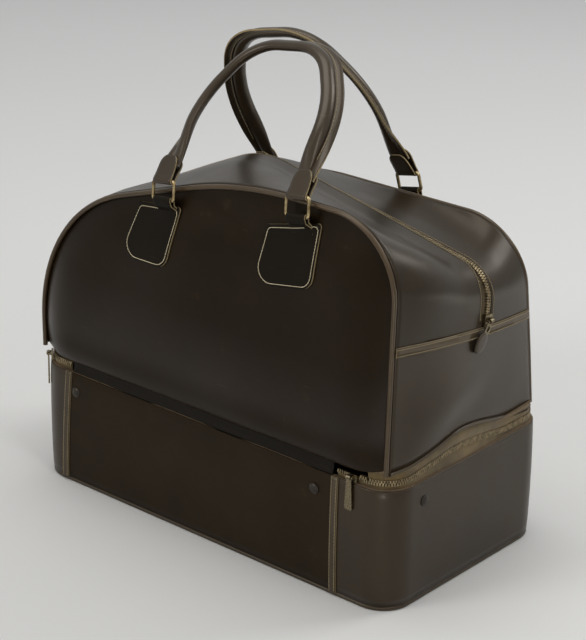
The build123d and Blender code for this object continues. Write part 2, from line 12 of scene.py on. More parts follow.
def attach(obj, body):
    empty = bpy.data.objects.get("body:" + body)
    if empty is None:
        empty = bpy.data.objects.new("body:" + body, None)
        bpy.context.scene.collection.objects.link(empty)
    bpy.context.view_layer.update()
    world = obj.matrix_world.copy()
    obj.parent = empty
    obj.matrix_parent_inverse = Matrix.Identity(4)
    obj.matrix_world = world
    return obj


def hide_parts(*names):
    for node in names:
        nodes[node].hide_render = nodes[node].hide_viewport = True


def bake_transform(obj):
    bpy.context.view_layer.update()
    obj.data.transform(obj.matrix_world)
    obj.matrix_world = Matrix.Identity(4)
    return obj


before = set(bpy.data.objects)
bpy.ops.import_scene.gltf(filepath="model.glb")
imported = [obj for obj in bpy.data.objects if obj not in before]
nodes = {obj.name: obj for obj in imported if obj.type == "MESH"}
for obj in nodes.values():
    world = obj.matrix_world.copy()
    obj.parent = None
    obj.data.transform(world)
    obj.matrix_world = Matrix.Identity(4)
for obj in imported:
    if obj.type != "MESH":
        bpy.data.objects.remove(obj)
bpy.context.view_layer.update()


# Boards
# Grey-brown fibreboard, cut to a rounded rectangle: the case's wall, its floor, and the lid that
# the bag is sewn to. They are covered outside and only their edges show when the case is open.
class Value:
    """A socket of a finish. Sums of values add Math nodes, and node() adds any other node."""

    def __init__(self, tree, socket=None):
        self.tree = tree
        self.socket = socket

    def node(self, kind, settings=None, out=0, **inputs):
        made = self.tree.nodes.new("ShaderNode" + kind)
        for key, setting in (settings or {}).items():
            if key == "stops":
                ramp = made.color_ramp.elements
                while len(ramp) < len(setting):
                    ramp.new(0.5)
                for stop, (place, shade) in zip(ramp, setting):
                    stop.position = place
                    stop.color = (shade, shade, shade, 1)
            else:
                setattr(made, key, setting)
        for key, value in inputs.items():
            slot = made.inputs[int(key[1:])] if key[0] == "_" else made.inputs[key.replace("_", " ")]
            if isinstance(value, Value):
                self.tree.links.new(value.socket, slot)
            else:
                slot.default_value = value
        return Value(self.tree, made.outputs[out])

    def sum(self, operation, first, second):
        return self.node("Math", {"operation": operation}, _0=first, _1=second)

    def __add__(self, other):
        return self.sum("ADD", self, other)

    __radd__ = __add__

    def __sub__(self, other):
        return self.sum("SUBTRACT", self, other)

    def __rsub__(self, other):
        return self.sum("SUBTRACT", other, self)

    def __mul__(self, other):
        return self.sum("MULTIPLY", self, other)

    __rmul__ = __mul__

    def mix(self, low, high):
        """low where this value is 0 and high where it is 1, for colours."""
        return self.node("Mix", {"data_type": "RGBA"}, out=2, _0=self, _6=low, _7=high)

    def ramp(self, *stops):
        return self.node("ValToRGB", {"stops": stops}, Fac=self)

    def noise(self, scale, detail=2.0, roughness=0.5):
        """A cloudy value over the place that this one gives."""
        return self.node("TexNoise", Vector=self, Scale=scale, Detail=detail, Roughness=roughness)

    def bump(self, strength, distance, **under):
        return self.node("Bump", Strength=strength, Distance=distance, Height=self, **under)


def rgba(red, green, blue):
    """A colour written as it looks on screen, from 0 to 255, as linear light."""
    shares = [c / 255 for c in (red, green, blue)]
    linear = [s / 12.92 if s <= 0.04045 else ((s + 0.055) / 1.055) ** 2.4 for s in shares]
    return (*linear, 1)


def new_finish(name, **plain):
    """A material with one shader: returns it, the place on the object, and a way to feed its sockets."""
    made = bpy.data.materials.new(name)
    made.use_nodes = True
    shader = made.node_tree.nodes["Principled BSDF"]
    where = Value(made.node_tree).node("TexCoord", out="Object")
    for key, value in plain.items():
        shader.inputs[key.replace("_", " ")].default_value = value

    def feed(**inputs):
        for key, value in inputs.items():
            made.node_tree.links.new(value.socket, shader.inputs[key.replace("_", " ")])

    return made, where, feed


def dress(node_name, material):
    """Gives a CAD solid that stays in view its finish."""
    nodes[node_name].data.materials.clear()
    nodes[node_name].data.materials.append(material)


fibreboard, where, feed = new_finish("fibreboard")
pulp = where.noise(420.0, 5.0, 0.7)
blotch = where.noise(14.0, 2.0)
feed(
    Base_Color=(0.6 * pulp + 0.4 * blotch).ramp((0.35, 0), (0.65, 1)).mix(
        rgba(96, 80, 60), rgba(134, 114, 88)
    ),
    Roughness=0.75 + 0.15 * pulp,
    Normal=pulp.bump(0.3, 0.0004),
)
for board in ("case_board", "base_board", "floor_board"):
    dress(board, fibreboard)


# Case lining
# Dark brown cotton twill, glued inside the case over the boards.
lining_cloth, where, feed = new_finish("lining_cloth")
diagonal = {"bands_direction": "DIAGONAL"}
twill = where.node("TexWave", diagonal, out=1, Vector=where, Scale=420.0, Distortion=0.6)
wear = where.noise(20.0, 3.0)
feed(
    Base_Color=wear.mix(rgba(58, 48, 38), rgba(84, 72, 57)),
    Roughness=0.8 + 0.1 * wear,
    Normal=twill.bump(0.35, 0.0003),
)
dress("case_lining", lining_cloth)


# Case covers
# Smooth dark brown vinyl sheet, glued round the board: one length across the front between the
# two strips, and one round both ends and the back. Its top edge is turned in over the board.
def vinyl(name, light, dark, gloss, seed=0.0, scuffs=0.5, shine=1.0, belly=0.0):
    """Smooth vinyl: a fine pressed grain, a slow waviness, and pale rubs and scratches.
    belly is the extra gloss of a full bag's front, polished where hands and legs brush it."""
    made, where, feed = new_finish(
        name, Coat_Roughness=0.22, Specular_IOR_Level=0.44 * shine, Specular_Tint=rgba(255, 240, 218)
    )
    place = where.node("VectorMath", {"operation": "ADD"}, _0=where, _1=(seed, seed * 0.7, seed * 1.3))
    grain = where.node("TexVoronoi", {"feature": "F1"}, Vector=place, Scale=1100.0)
    wave = place.noise(16.0, 2.0, 0.4)
    mottle = place.noise(55.0, 4.0, 0.6)
    long_way = where.node("Mapping", Vector=place, Scale=(30.0, 60.0, 420.0), Rotation=(0.5, 0.3, 0.9))
    scratch = long_way.noise(1.0, 2.0).ramp((0.72, 0), (0.78, 1))
    rub = mottle.ramp((0.66, 0), (0.84, 1))
    worn = scuffs * (0.3 * scratch + 0.35 * rub)
    height = where.node("SeparateXYZ", out=2, Vector=where)
    polished = belly * height.ramp((0.150, 0), (0.166, 1)) * height.ramp((0.172, 1), (0.225, 0))
    plain = (0.6 * wave + 0.4 * mottle).ramp((0.3, 0), (0.7, 1)).mix(rgba(*dark), rgba(*light))
    feed(
        Base_Color=worn.mix(plain, rgba(96, 82, 62)),
        Roughness=gloss + 0.1 * mottle + 0.25 * worn,
        Coat_Weight=shine * (0.20 - 0.12 * mottle) + polished,
        Normal=grain.bump(0.16, 0.0002, Normal=wave.bump(0.22, 0.004)),
    )
    return made


def unit(ways):
    """Directions of length 1."""
    return ways / np.linalg.norm(ways, axis=-1, keepdims=True)


def travelled(path):
    """How far along a line each of its points lies."""
    return np.r_[0, np.cumsum(np.linalg.norm(np.diff(path, axis=0), axis=1))]


def grid_faces(rows, columns, wrap_rows=False, wrap_columns=False):
    """Four-cornered faces over a grid of points, kept row by row."""
    faces = []
    for i in range(rows if wrap_rows else rows - 1):
        for j in range(columns if wrap_columns else columns - 1):
            i2, j2 = (i + 1) % rows, (j + 1) % columns
            faces.append((i * columns + j, i2 * columns + j, i2 * columns + j2, i * columns + j2))
    return faces


def piece(name, points, faces, material, body, slot=None, replaced=(), inside=None):
    """A new mesh that rides on a body and stands for CAD solids. inside is a point behind a sheet."""
    mesh = bpy.data.meshes.new(name)
    mesh.from_pydata([tuple(p) for p in np.asarray(points).reshape(-1, 3)], [], faces)
    mesh.update()
    if inside is not None:
        facing = sum((face.center - Vector(inside)).dot(face.normal) * face.area for face in mesh.polygons)
        if facing < 0:
            mesh.flip_normals()
    mesh.materials.append(material)
    made = bpy.data.objects.new(name, mesh)
    bpy.context.scene.collection.objects.link(made)
    mesh.polygons.foreach_set("use_smooth", [True] * len(mesh.polygons))
    if body:
        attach(made, body)
    if replaced:
        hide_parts(*replaced)
    return made


def thicken(made, thickness, edge_material=None, side=-1):
    """Gives a sheet its thickness, with a cut edge of its own colour if one is given."""
    skin = made.modifiers.new("thickness", "SOLIDIFY")
    skin.thickness = thickness
    skin.offset = side
    if edge_material:
        made.data.materials.append(edge_material)
        skin.material_offset_rim = 1
    return made


def outline(corners, radii, per=14):
    """Points on straight runs and rounded corners, the same count on every run and every arc."""
    corners = [np.array(c, float) for c in corners]
    found = []
    start = corners[0]
    for i in range(1, len(corners)):
        here = corners[i]
        end = here
        if i < len(corners) - 1:
            back, onward = unit(corners[i - 1] - here), unit(corners[i + 1] - here)
            half = 0.5 * math.acos(np.clip(back @ onward, -1, 1))
            end = here + back * radii[i] / math.tan(half)
        found += [start + (end - start) * f for f in np.linspace(0, 1, per, endpoint=False)]
        if i < len(corners) - 1:
            start = here + onward * radii[i] / math.tan(half)
            middle = here + unit(back + onward) * radii[i] / math.sin(half)
            a, b = end - middle, start - middle
            turn = math.acos(np.clip(a @ b / radii[i] ** 2, -1, 1))
            for f in np.linspace(0, 1, per, endpoint=False):
                spoke = math.sin((1 - f) * turn) * a + math.sin(f * turn) * b
                found.append(middle + spoke / math.sin(turn))
    found.append(corners[-1])
    return np.array(found)


def even(path, count):
    """The same line with its points spread evenly. Columns past the third go along."""
    path = np.asarray(path, float)
    along = travelled(path[:, :3])
    wanted = np.linspace(0, along[-1], count)
    return np.stack([np.interp(wanted, along, path[:, k]) for k in range(path.shape[1])], axis=1)


cut_edge, where, feed = new_finish("cut_edge")
fray = where.noise(900.0, 3.0)
feed(
    Base_Color=fray.mix(rgba(118, 102, 70), rgba(176, 156, 116)),
    Roughness=0.7 + 0.2 * fray,
    Normal=fray.bump(0.5, 0.0002),
)
case_length, case_depth, case_height, case_corner = 0.430, 0.225, 0.116, 0.030
cover_foot, cover_thick, cover_bow, case_inside = 0.0045, 0.001, 0.0013, (0, 0, 0.06)
left_seam_foot, left_seam_head, right_seam = -0.180, -0.172, 0.154
half_length, half_depth = case_length / 2, case_depth / 2
front_vinyl = vinyl("case_front_vinyl", (47, 37, 25), (36, 28, 18), gloss=0.42, seed=0.2, shine=0.2)
wrap_vinyl = vinyl("case_wrap_vinyl", (46, 35, 21), (33, 25, 15), gloss=0.34, seed=1.7, shine=0.9)


def left_seam(z):
    return left_seam_foot + (left_seam_head - left_seam_foot) * z / case_height


def bow(z):
    """How far the covers stand out at a height: they are glued only at the top and the foot."""
    return cover_bow * np.sin(math.pi * (z - cover_foot) / (case_height - cover_foot)) ** 0.6


def plan_path(inset, count, start_x, end_x):
    """The case's plan, from the front at start_x round the right end, the back and the left end."""
    x, y = half_length - inset, half_depth - inset
    r = case_corner - inset
    corners = [(start_x, -y), (x, -y), (x, y), (-x, y), (-x, -y), (end_x, -y)]
    return even(outline(corners, [0, r, r, r, r, 0], 40), count)


heights = np.r_[np.linspace(cover_foot, case_height - 0.0012, 16), case_height - 0.0004]
crown = bow(heights)
crown[-1] = -0.0004
columns = 60
front_points = np.zeros((len(heights), columns, 3))
for i, z in enumerate(heights):
    across = np.linspace(left_seam(z), right_seam, columns)
    ripple = 0.0005 * np.sin(across * 31 + 1) * math.sin(math.pi * i / len(heights))
    front_points[i] = np.stack([across, -half_depth - crown[i] - ripple, np.full(columns, z)], axis=1)
front_cover = piece(
    "front_cover_vinyl", front_points, grid_faces(len(heights), columns), front_vinyl, "lower_case",
    "vinyl", ["front_cover"], case_inside,
)
thicken(front_cover, cover_thick, cut_edge)

round_count = 420
wrap_points = np.zeros((len(heights), round_count, 3))
for i, z in enumerate(heights):
    plan = plan_path(-crown[i], round_count, right_seam, left_seam(z))
    wrap_points[i] = np.c_[plan, np.full(round_count, z)]
wrap_cover = piece(
    "wrap_cover_vinyl", wrap_points, grid_faces(len(heights), round_count), wrap_vinyl, "lower_case",
    "vinyl", ["wrap_cover"], case_inside,
)
thicken(wrap_cover, cover_thick, cut_edge)

under_vinyl = vinyl("under_vinyl", (42, 35, 26), (30, 24, 17), gloss=0.5, seed=3.1, scuffs=1.0)
dress("base_cover", under_vinyl)


# Bottom welt
# A cord wrapped in vinyl and sewn into the seam between the covers and the base. It is the part
# that rubs on the floor, so it is scuffed more than the covers.
def capped(rows, sides):
    """Faces of a bar with closed ends, ring by ring."""
    ends = [tuple(range(sides))[::-1], tuple((rows - 1) * sides + k for k in range(sides))]
    return grid_faces(rows, sides, wrap_columns=True) + ends


def tube(path, radius, sides=12, closed=False):
    """Points and faces of a round bar along a line; radius may change along it."""
    path = np.asarray(path, float)
    count = len(path)
    radius = np.broadcast_to(radius, (count,))
    if closed:
        run = np.roll(path, -1, axis=0) - np.roll(path, 1, axis=0)
    else:
        run = np.gradient(path, axis=0)
    run = unit(run)
    side = np.cross(run[0], (0.31, 0.17, 0.93))
    rings = []
    for here, way, r in zip(path, run, radius):
        side = unit(side - way * (side @ way))
        other = np.cross(way, side)
        turn = np.linspace(0, 2 * math.pi, sides, endpoint=False)
        rings.append(here + r * (np.cos(turn)[:, None] * side + np.sin(turn)[:, None] * other))
    faces = grid_faces(count, sides, True, True) if closed else capped(count, sides)
    return np.vstack(rings), [f[::-1] for f in faces]


welt_radius = 0.0022
welt_vinyl = vinyl("welt_vinyl", (62, 50, 34), (42, 33, 21), gloss=0.36, seed=4.4, scuffs=1.6)
welt_line = plan_path(welt_radius, 421, 0, 0)[:-1]
welt_line = np.c_[welt_line, np.full(len(welt_line), welt_radius)]
piece(
    "bottom_welt", *tube(welt_line, welt_radius, 12, True), welt_vinyl, "lower_case", "vinyl",
    ["bottom_piping"],
)


# Seam strips
# Narrow vinyl strips sewn over the two seams in the case's front, with cut tan edges and a row of
# tan thread along each edge.
thread, where, feed = new_finish("thread", Sheen_Weight=0.3)
ply = where.node("TexWave", diagonal, out=1, Vector=where, Scale=900.0, Distortion=1.0)
fade = where.noise(60.0)
feed(
    Base_Color=fade.mix(rgba(120, 104, 72), rgba(172, 152, 112)),
    Roughness=0.7 + 0.1 * fade,
    Normal=ply.bump(0.5, 0.0002),
)


def stitching(name, lines, outward, body, pitch=0.0034, radius=0.00032, yarn=thread):
    """Rows of stitches: each is a short thread that rises from one hole and sinks into the next."""
    points, faces = [], []
    for line, out in zip(lines, outward):
        line = np.asarray(line, float)
        count = max(2, int(travelled(line)[-1] / pitch))
        holes = even(np.c_[line, np.broadcast_to(out, line.shape)], count + 1)
        for (*a, i, j, k), (*b, _, _, _) in zip(holes[:-1], holes[1:]):
            a, b, up = np.array(a), np.array(b), np.array((i, j, k))
            up = up / max(np.linalg.norm(up), 1e-9)
            f = np.array([0.06, 0.2, 0.5, 0.8, 0.94])[:, None]
            lift = radius * np.array([-1.2, 0.4, 0.9, 0.4, -1.2])[:, None]
            p, q = tube(a + (b - a) * f + up * lift, radius, 6)
            faces += [tuple(len(points) + k for k in face) for face in q]
            points += list(p)
    piece(name, points, faces, yarn, body)


strip_width, strip_rows, strip_columns = 0.008, 30, 7
strip_seat, strip_crown, strip_thick = 0.0012, 0.0004, 0.0011
strip_vinyl = vinyl("strip_vinyl", (72, 60, 42), (44, 36, 25), gloss=0.4, seed=5.3, scuffs=1.8)
strip_lines, strip_outs = [], []
for side_name, seam in (("left", left_seam), ("right", lambda z: right_seam)):
    strip_points = []
    for z in np.linspace(cover_foot, case_height, strip_rows):
        for u in np.linspace(-1, 1, strip_columns):
            rise = strip_seat + strip_crown * (1 - u * u) + bow(z)
            strip_points.append((seam(z) + u * strip_width / 2, -half_depth - rise, z))
    strip_points = np.array(strip_points).reshape(strip_rows, strip_columns, 3)
    strip = piece(
        f"{side_name}_strip_vinyl", strip_points, grid_faces(strip_rows, strip_columns), strip_vinyl,
        "lower_case", "vinyl", [f"{side_name}_seam_strip"], case_inside,
    )
    thicken(strip, strip_thick, cut_edge)
    for u in (1, 5):
        strip_lines.append(strip_points[:, u] + np.array((0, -0.0001, 0)))
        strip_outs.append(np.array((0, -1.0, 0)))
stitching("strip_stitching", strip_lines, strip_outs, "lower_case")


# Rivets
# Small studs with domed caps, enamelled dark brown, that hold the stiffening inside the case.
def speckled(name, scale, low, high, colours, roughness, metallic):
    """A worn metal or enamel: its colour and its roughness change together in fine specks."""
    made, where, feed = new_finish(name, Metallic=metallic)
    specks = where.noise(scale, 4.0)
    feed(
        Base_Color=specks.ramp((low, 0), (high, 1)).mix(rgba(*colours[0]), rgba(*colours[1])),
        Roughness=roughness[0] + roughness[1] * specks,
    )
    return made


rivet_enamel = speckled(
    "rivet_enamel", 500.0, 0.6, 0.72, ((38, 31, 22), (92, 78, 56)), roughness=(0.3, 0.2), metallic=0.35
)
rivet_profile = [(0.0051, -0.0003), (0.0051, 0.0004), (0.0046, 0.0007), (0.0042, 0.0006), (0.0039, 0.0009),
                 (0.0030, 0.0014), (0.0016, 0.00165), (0.0, 0.0017)]
rivet_sides, rivet_z, rivet_end_y, rivet_seat = 20, 0.097, -0.067, 0.0012
rivet_places = [
    ((-0.163, -half_depth - rivet_seat, rivet_z), (0, -1, 0)),
    ((0.131, -half_depth - rivet_seat, rivet_z), (0, -1, 0)),
    ((half_length + rivet_seat, rivet_end_y, rivet_z), (1, 0, 0)),
    ((-half_length - rivet_seat, rivet_end_y, rivet_z), (-1, 0, 0)),
]
rivet_points, rivet_faces = [], []
for place, out in rivet_places:
    out = np.array(out, float)
    aside = np.array((out[1], -out[0], 0))
    first = len(rivet_points)
    for r, h in rivet_profile:
        for a in np.linspace(0, 2 * math.pi, rivet_sides, endpoint=False):
            spoke = math.cos(a) * aside + math.sin(a) * np.array((0, 0, 1))
            rivet_points.append(np.array(place) + out * h + r * spoke)
    cap = grid_faces(len(rivet_profile), rivet_sides, wrap_columns=True)
    rivet_faces += [tuple(first + k for k in f) for f in cap]
piece("rivets", rivet_points, rivet_faces, rivet_enamel, "lower_case", "vinyl", ["case_rivets"])


# Lower zip
# Khaki cotton tape with brown brass teeth. One half is sewn inside the case's wall and the other to
# the bag. Slack cloth at the ends bows it up and out between the corners.
tape_cloth, where, feed = new_finish("tape_cloth", Sheen_Weight=0.25)
ribs = where.node("TexWave", {"bands_direction": "Z"}, out=1, Vector=where, Scale=330.0, Distortion=0.4)
weft = where.noise(700.0, 3.0)
soil = where.noise(45.0, 4.0)
feed(
    Base_Color=(0.7 * soil + 0.3 * weft).ramp((0.34, 0), (0.66, 1)).mix(rgba(74, 59, 31), rgba(118, 98, 58)),
    Roughness=0.82 + 0.1 * weft,
    Normal=(0.6 * ribs + 0.4 * weft).bump(0.5, 0.0003),
)
tooth_brass = speckled(
    "tooth_brass", 240.0, 0.3, 0.7, ((92, 80, 58), (166, 148, 114)), roughness=(0.3, 0.3), metallic=0.7
)
split_z, tape_inset, full_slack, slack_rise = 0.122, 0.0040, 0.015, 0.0095
tape_foot, tape_head, tape_thick, tooth_gap = 0.1085, 0.1335, 0.0007, 0.0012
bag_start_x, bag_end_foot = 0.186, 0.1314
hem_y = np.linspace(-0.13, 0.13, 261)
hem_places = [-0.090, -0.051, -0.023, 0.005, 0.033, 0.061, 0.089]
hem_lifts = {
    1: np.interp(hem_y, hem_places, [0, 0.0075, 0.0150, 0.0115, 0.0045, -0.0030, -0.0062]),
    -1: np.interp(hem_y, hem_places, [0, 0.0030, 0.0060, 0.0050, 0.0015, -0.0030, -0.0062]),
}
soften = np.ones(21) / 21
for side in hem_lifts:
    hem_lifts[side] = np.convolve(np.pad(hem_lifts[side], 10, "edge"), soften, "valid")


def hem_lift(x, y):
    """How far the bag's lower edge stands above its seam at the front: up at the ends, down behind."""
    return np.where(x > 0, np.interp(y, hem_y, hem_lifts[1]), np.interp(y, hem_y, hem_lifts[-1]))


zip_count = 460
zip_plan = plan_path(tape_inset, zip_count, right_seam, left_seam_head)
zip_out = np.gradient(zip_plan, axis=0)
zip_out = unit(np.stack([zip_out[:, 1], -zip_out[:, 0]], axis=1))
zip_lift = hem_lift(zip_plan[:, 0], zip_plan[:, 1])
zip_slack = np.clip(zip_lift / full_slack, 0, 1)
zip_z = split_z + slack_rise * zip_slack
bag_part = (zip_plan[:, 0] > bag_start_x) | (zip_plan[:, 1] > -half_depth + 0.01)
bag_rows = np.flatnonzero(bag_part)
bag_rows = slice(bag_rows[0], bag_rows[-1] + 1)
tape_top = tape_head + zip_lift


def zip_tape(name, low, high, bulge, rows, body, replaced):
    """A tape that stands between two edges and bows out where it is slack."""
    points = []
    for f in np.linspace(0, 1, rows):
        out = bulge * zip_slack * math.sin(math.pi * (0.15 + 0.7 * f))
        points.append(np.c_[zip_plan + zip_out * out[:, None], low + (high - low) * f])
    points = np.array(points)
    made = piece(
        name, points, grid_faces(rows, points.shape[1]), tape_cloth, body, "tape", replaced, (0, 0, split_z)
    )
    return thicken(made, tape_thick, side=0)


case_tape = zip_tape(
    "case_tape_cloth", np.full(zip_count, tape_foot), zip_z - tooth_gap, 0.0018, 7, "lower_case",
    ["case_zip_tape"],
)
bag_foot = np.where(bag_part, zip_z + tooth_gap, bag_end_foot)
bag_tape = zip_tape("bag_tape_cloth", bag_foot, tape_top, 0.0034, 9, "upper_bag", ["bag_zip_tape"])


def teeth(name, line, up, out, size, body, replaced, shift=0.0):
    """A row of teeth along a line, clamped to the tape on one side and hooked towards the other."""
    pitch, width, thick, tall = size
    along = travelled(line)
    count = int(along[-1] / pitch)
    share = (np.arange(count) + 0.25 + shift) / count * along[-1]
    pick = lambda rows: np.stack([np.interp(share, along, rows[:, k]) for k in range(3)], axis=1)
    here, ups, outs = pick(line), pick(up), pick(out)
    runs = np.cross(outs, ups)
    block = np.array(
        [(s * w, t * d, h) for h, w, d in ((-tall, 0.5, 0.5), (-tall * 0.35, 0.5, 0.5), (0, 0.42, 0.44),
                                           (tall * 0.16, 0.26, 0.3))
         for s, t in ((-1, -1), (1, -1), (1, 1), (-1, 1))]
    )
    points = (
        here[:, None]
        + runs[:, None] * block[None, :, :1] * width
        + outs[:, None] * block[None, :, 1:2] * thick
        + ups[:, None] * block[None, :, 2:]
    )
    shell = [
        (4 * r + k, 4 * r + (k + 1) % 4, 4 * r + 4 + (k + 1) % 4, 4 * r + 4 + k)
        for r in range(3) for k in range(4)
    ]
    shell += [(3, 2, 1, 0), (12, 13, 14, 15)]
    faces = [tuple(16 * i + k for k in f) for i in range(count) for f in shell]
    made = piece(name, points, faces, tooth_brass, body, "teeth", replaced)
    made.data.polygons.foreach_set("use_smooth", [False] * len(made.data.polygons))


zip_line = np.c_[zip_plan + zip_out * (0.0016 * zip_slack)[:, None], zip_z]
zip_up = np.broadcast_to((0.0, 0.0, 1.0), zip_line.shape)
zip_out3 = np.c_[zip_out, np.zeros(zip_count)]
tooth_size = (0.0024, 0.0014, 0.0030, 0.0027)
teeth("case_teeth", zip_line, zip_up, zip_out3, tooth_size, "lower_case", ["case_zip_chain"])
teeth(
    "bag_teeth", zip_line[bag_rows], -zip_up[bag_rows], zip_out3[bag_rows], tooth_size, "upper_bag",
    ["bag_zip_chain"], 0.5,
)
ends = np.arange(zip_count)
for side_name, stretch in (
    ("right", (zip_plan[:, 0] > 0.1765) & (ends < bag_rows.start)),
    ("left", ends >= bag_rows.stop),
):
    teeth(
        f"{side_name}_end_teeth", zip_line[stretch], -zip_up[stretch], zip_out3[stretch], tooth_size,
        "lower_case", [], 0.5,
    )


# Hinge
# A plain band of vinyl along the front between the two strips, glued inside the case and sewn
# under the bag. It folds as the bag tips forward; the mesh here rides on neither body and stays put.
# The hinge vinyl is coloured nearly black: painted shade for the recess under the bag's belly, above the
# case.
hinge_painted_shade_vinyl = vinyl("hinge_painted_shade_vinyl", (20, 16, 11), (13, 10, 7), gloss=0.5, seed=6.1, scuffs=0.3, shine=0.3)
hinge_fold = np.array(
    [(-0.1106, 0.1120), (-0.1110, 0.1150), (-0.1116, 0.1166), (-0.1113, 0.1184), (-0.1106, 0.1204),
     (-0.1102, 0.1224), (-0.1101, 0.1250), (-0.1101, 0.1300), (-0.1101, 0.1350)]
)
hinge_x = np.linspace(left_seam_head + 0.004, right_seam - 0.004, 80)
hinge_points = np.array(
    [[(x, y + 0.0003 * math.sin(x * 55 + z * 300), z) for x in hinge_x] for y, z in even(hinge_fold, 26)]
)
hinge = piece(
    "hinge_band", hinge_points, grid_faces(26, 80), hinge_painted_shade_vinyl, None, "vinyl", ["hinge_strip", "hinge_flap"],
    (0, 0, split_z),
)
thicken(hinge, 0.0009)
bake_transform(hinge)


# Bag wall
# Vinyl sheet round the bag between its two big panels: a gusset on each side of the top zip and a
# panel at each end below the waist. It is unstiffened, so it sinks between the seams.
bag_z, bag_height, bag_inside = 0.134, 0.224, (0, 0, 0.2)
front_y, zip_y, rear_y, rear_lean = -0.108, 0.008, 0.098, math.radians(10.5)
front_shape = (
    [(-0.972, 0), (-0.981, 0.63), (0.186, 0.991), (0.991, 0.995), (0.972, 0)], [0, 0.69, 1.79, 0.3, 0]
)
middle_shape = (
    [(-0.981, 0), (-1.009, 0.527), (-0.177, 0.888), (1.019, 0.67), (0.981, 0)], [0, 0.36, 0.4, 0.134, 0]
)
rear_shape = (
    [(-0.963, 0), (-0.967, 0.559), (-0.116, 0.795), (0.986, 0.803), (0.963, 0)], [0, 0.4, 1.2, 0.268, 0]
)


def bag_line(shape, y, lean=0.0, inset=0.0, out=0.0, per=16):
    """An outline of the bag from its left foot over the top to its right foot, drawn in by inset."""
    corners, radii = shape
    flat = []
    for i, (x, z) in enumerate(corners):
        drop = inset if 0 < i < 4 else -inset
        flat.append((x * half_length - math.copysign(inset, x) * (i != 2), z * bag_height - drop))
    run = outline(flat, [max(r * bag_height - inset, 0) for r in radii], per)
    return np.stack(
        [
            run[:, 0],
            y - run[:, 1] * math.sin(lean) + out * math.cos(lean),
            bag_z + run[:, 1] * math.cos(lean) + out * math.sin(lean),
        ],
        axis=1,
    )


front_line, zip_crest, rear_line = (
    bag_line(front_shape, front_y),
    bag_line(middle_shape, zip_y),
    bag_line(rear_shape, rear_y, rear_lean),
)
wall_rows, zip_share = 49, 0.58
wall = []
for s in np.linspace(0, 1, wall_rows):
    f = (s - zip_share) * (s - 1) / zip_share
    m = s * (s - 1) / (zip_share * (zip_share - 1))
    r = s * (s - zip_share) / (1 - zip_share)
    wall.append(f * front_line + m * zip_crest + r * rear_line)
wall = np.array(wall)
wall_out = unit(np.cross(np.gradient(wall, axis=1), np.gradient(wall, axis=0)))
share_grid = np.linspace(0, 1, wall_rows)[:, None]
edge_ease = np.sin(math.pi * share_grid) ** 0.5


def hollow(y0, z0, wide, tall):
    """The share of a soft hollow in an end of the bag, centred at y0 and z0."""
    return np.exp(-(((wall[:, :, 1] - y0) / wide) ** 2) - ((wall[:, :, 2] - z0) / tall) ** 2)


def smooth(grid, rounds):
    """Evens out a grid of values, all but its edges."""
    for _ in range(rounds):
        inner = grid[1:-1, 1:-1]
        inner += 0.2 * (grid[:-2, 1:-1] + grid[2:, 1:-1] + grid[1:-1, :-2] + grid[1:-1, 2:] - 4 * inner)


def ease(value):
    """0 below 0, 1 above 1, and smooth between."""
    value = np.clip(value, 0, 1)
    return value * value * (3 - 2 * value)


right_side, left_side = wall[:, :, 0] > 0.19, wall[:, :, 0] < -0.17
depth, height = wall[:, :, 1], wall[:, :, 2]
waist_slope, fold_head, gusset_foot = 0.119, 0.243, 0.236
fold_out, gusset_out, left_sink = 0.011, 0.007, 0.006
under_waist = ease((fold_head - waist_slope * depth - height) / 0.025)
ridge_y = np.interp(height, [0.134, 0.169, 0.220, 0.245], [-0.090, -0.075, -0.013, 0.008])
front_of_ridge = np.clip((depth - front_y) / (ridge_y - front_y), 0, 1) ** 0.8
behind_ridge = 1 - 0.8 * ease((depth - ridge_y) / 0.09)
fold = np.where(depth < ridge_y, front_of_ridge, behind_ridge)
by_seam = 1 - (1 - np.clip((depth - front_y) / 0.035, 0, 1)) ** 2.2
by_seam = by_seam * (1 - ease((depth + 0.070) / 0.060))
at_foot = np.clip(1 - (height - bag_z) / 0.03, 0, 1)
above_waist = ease((height + waist_slope * depth - gusset_foot) / 0.045)
fold_rise = fold_out * (1 - 0.75 * ease((height - 0.185) / 0.035)) * (1 - 0.6 * at_foot)
bulge = right_side * (fold_rise * under_waist * fold + gusset_out * above_waist * by_seam)
bulge = bulge + left_side * (-left_sink * hollow(0.0, 0.190, 0.06, 0.035))
bulge = bulge + (~right_side & ~left_side) * 0.002 * np.sin(2 * math.pi * share_grid) ** 2
smooth(bulge, 8)
wall_soft = wall + wall_out * (bulge * edge_ease)[:, :, None]


def to_hem(points):
    """Draws the lowest part of the bag's side up or down so that it ends at the hem."""
    share = np.clip(1 - (points[..., 2] - bag_z) / 0.05, 0, 1)
    points[..., 2] += hem_lift(points[..., 0], points[..., 1]) * share
    return points


wall_soft = to_hem(wall_soft)
overhang = 0.0036 * np.clip(hem_lift(wall[:, :, 0], depth) / full_slack, 0, 1)
wall_soft[:, :, 0] += np.sign(wall[:, :, 0]) * overhang * at_foot ** 2

waist_tilt, slot_half = math.radians(6.8), 0.007
waist_point = Vector((0, 0, 0.233))
waist_up = Vector((0, math.sin(waist_tilt), math.cos(waist_tilt)))


def zip_lip(point):
    """Along the top the gussets' edges close over the zip and stand up in a low ridge."""
    away = point[1] - zip_y
    top = ease((point[2] - 0.262) / 0.05)
    near = 1 - ease((abs(away) - slot_half) / 0.024)
    return point + np.array((0, -math.copysign(0.0056, away), 0.0026)) * top * near


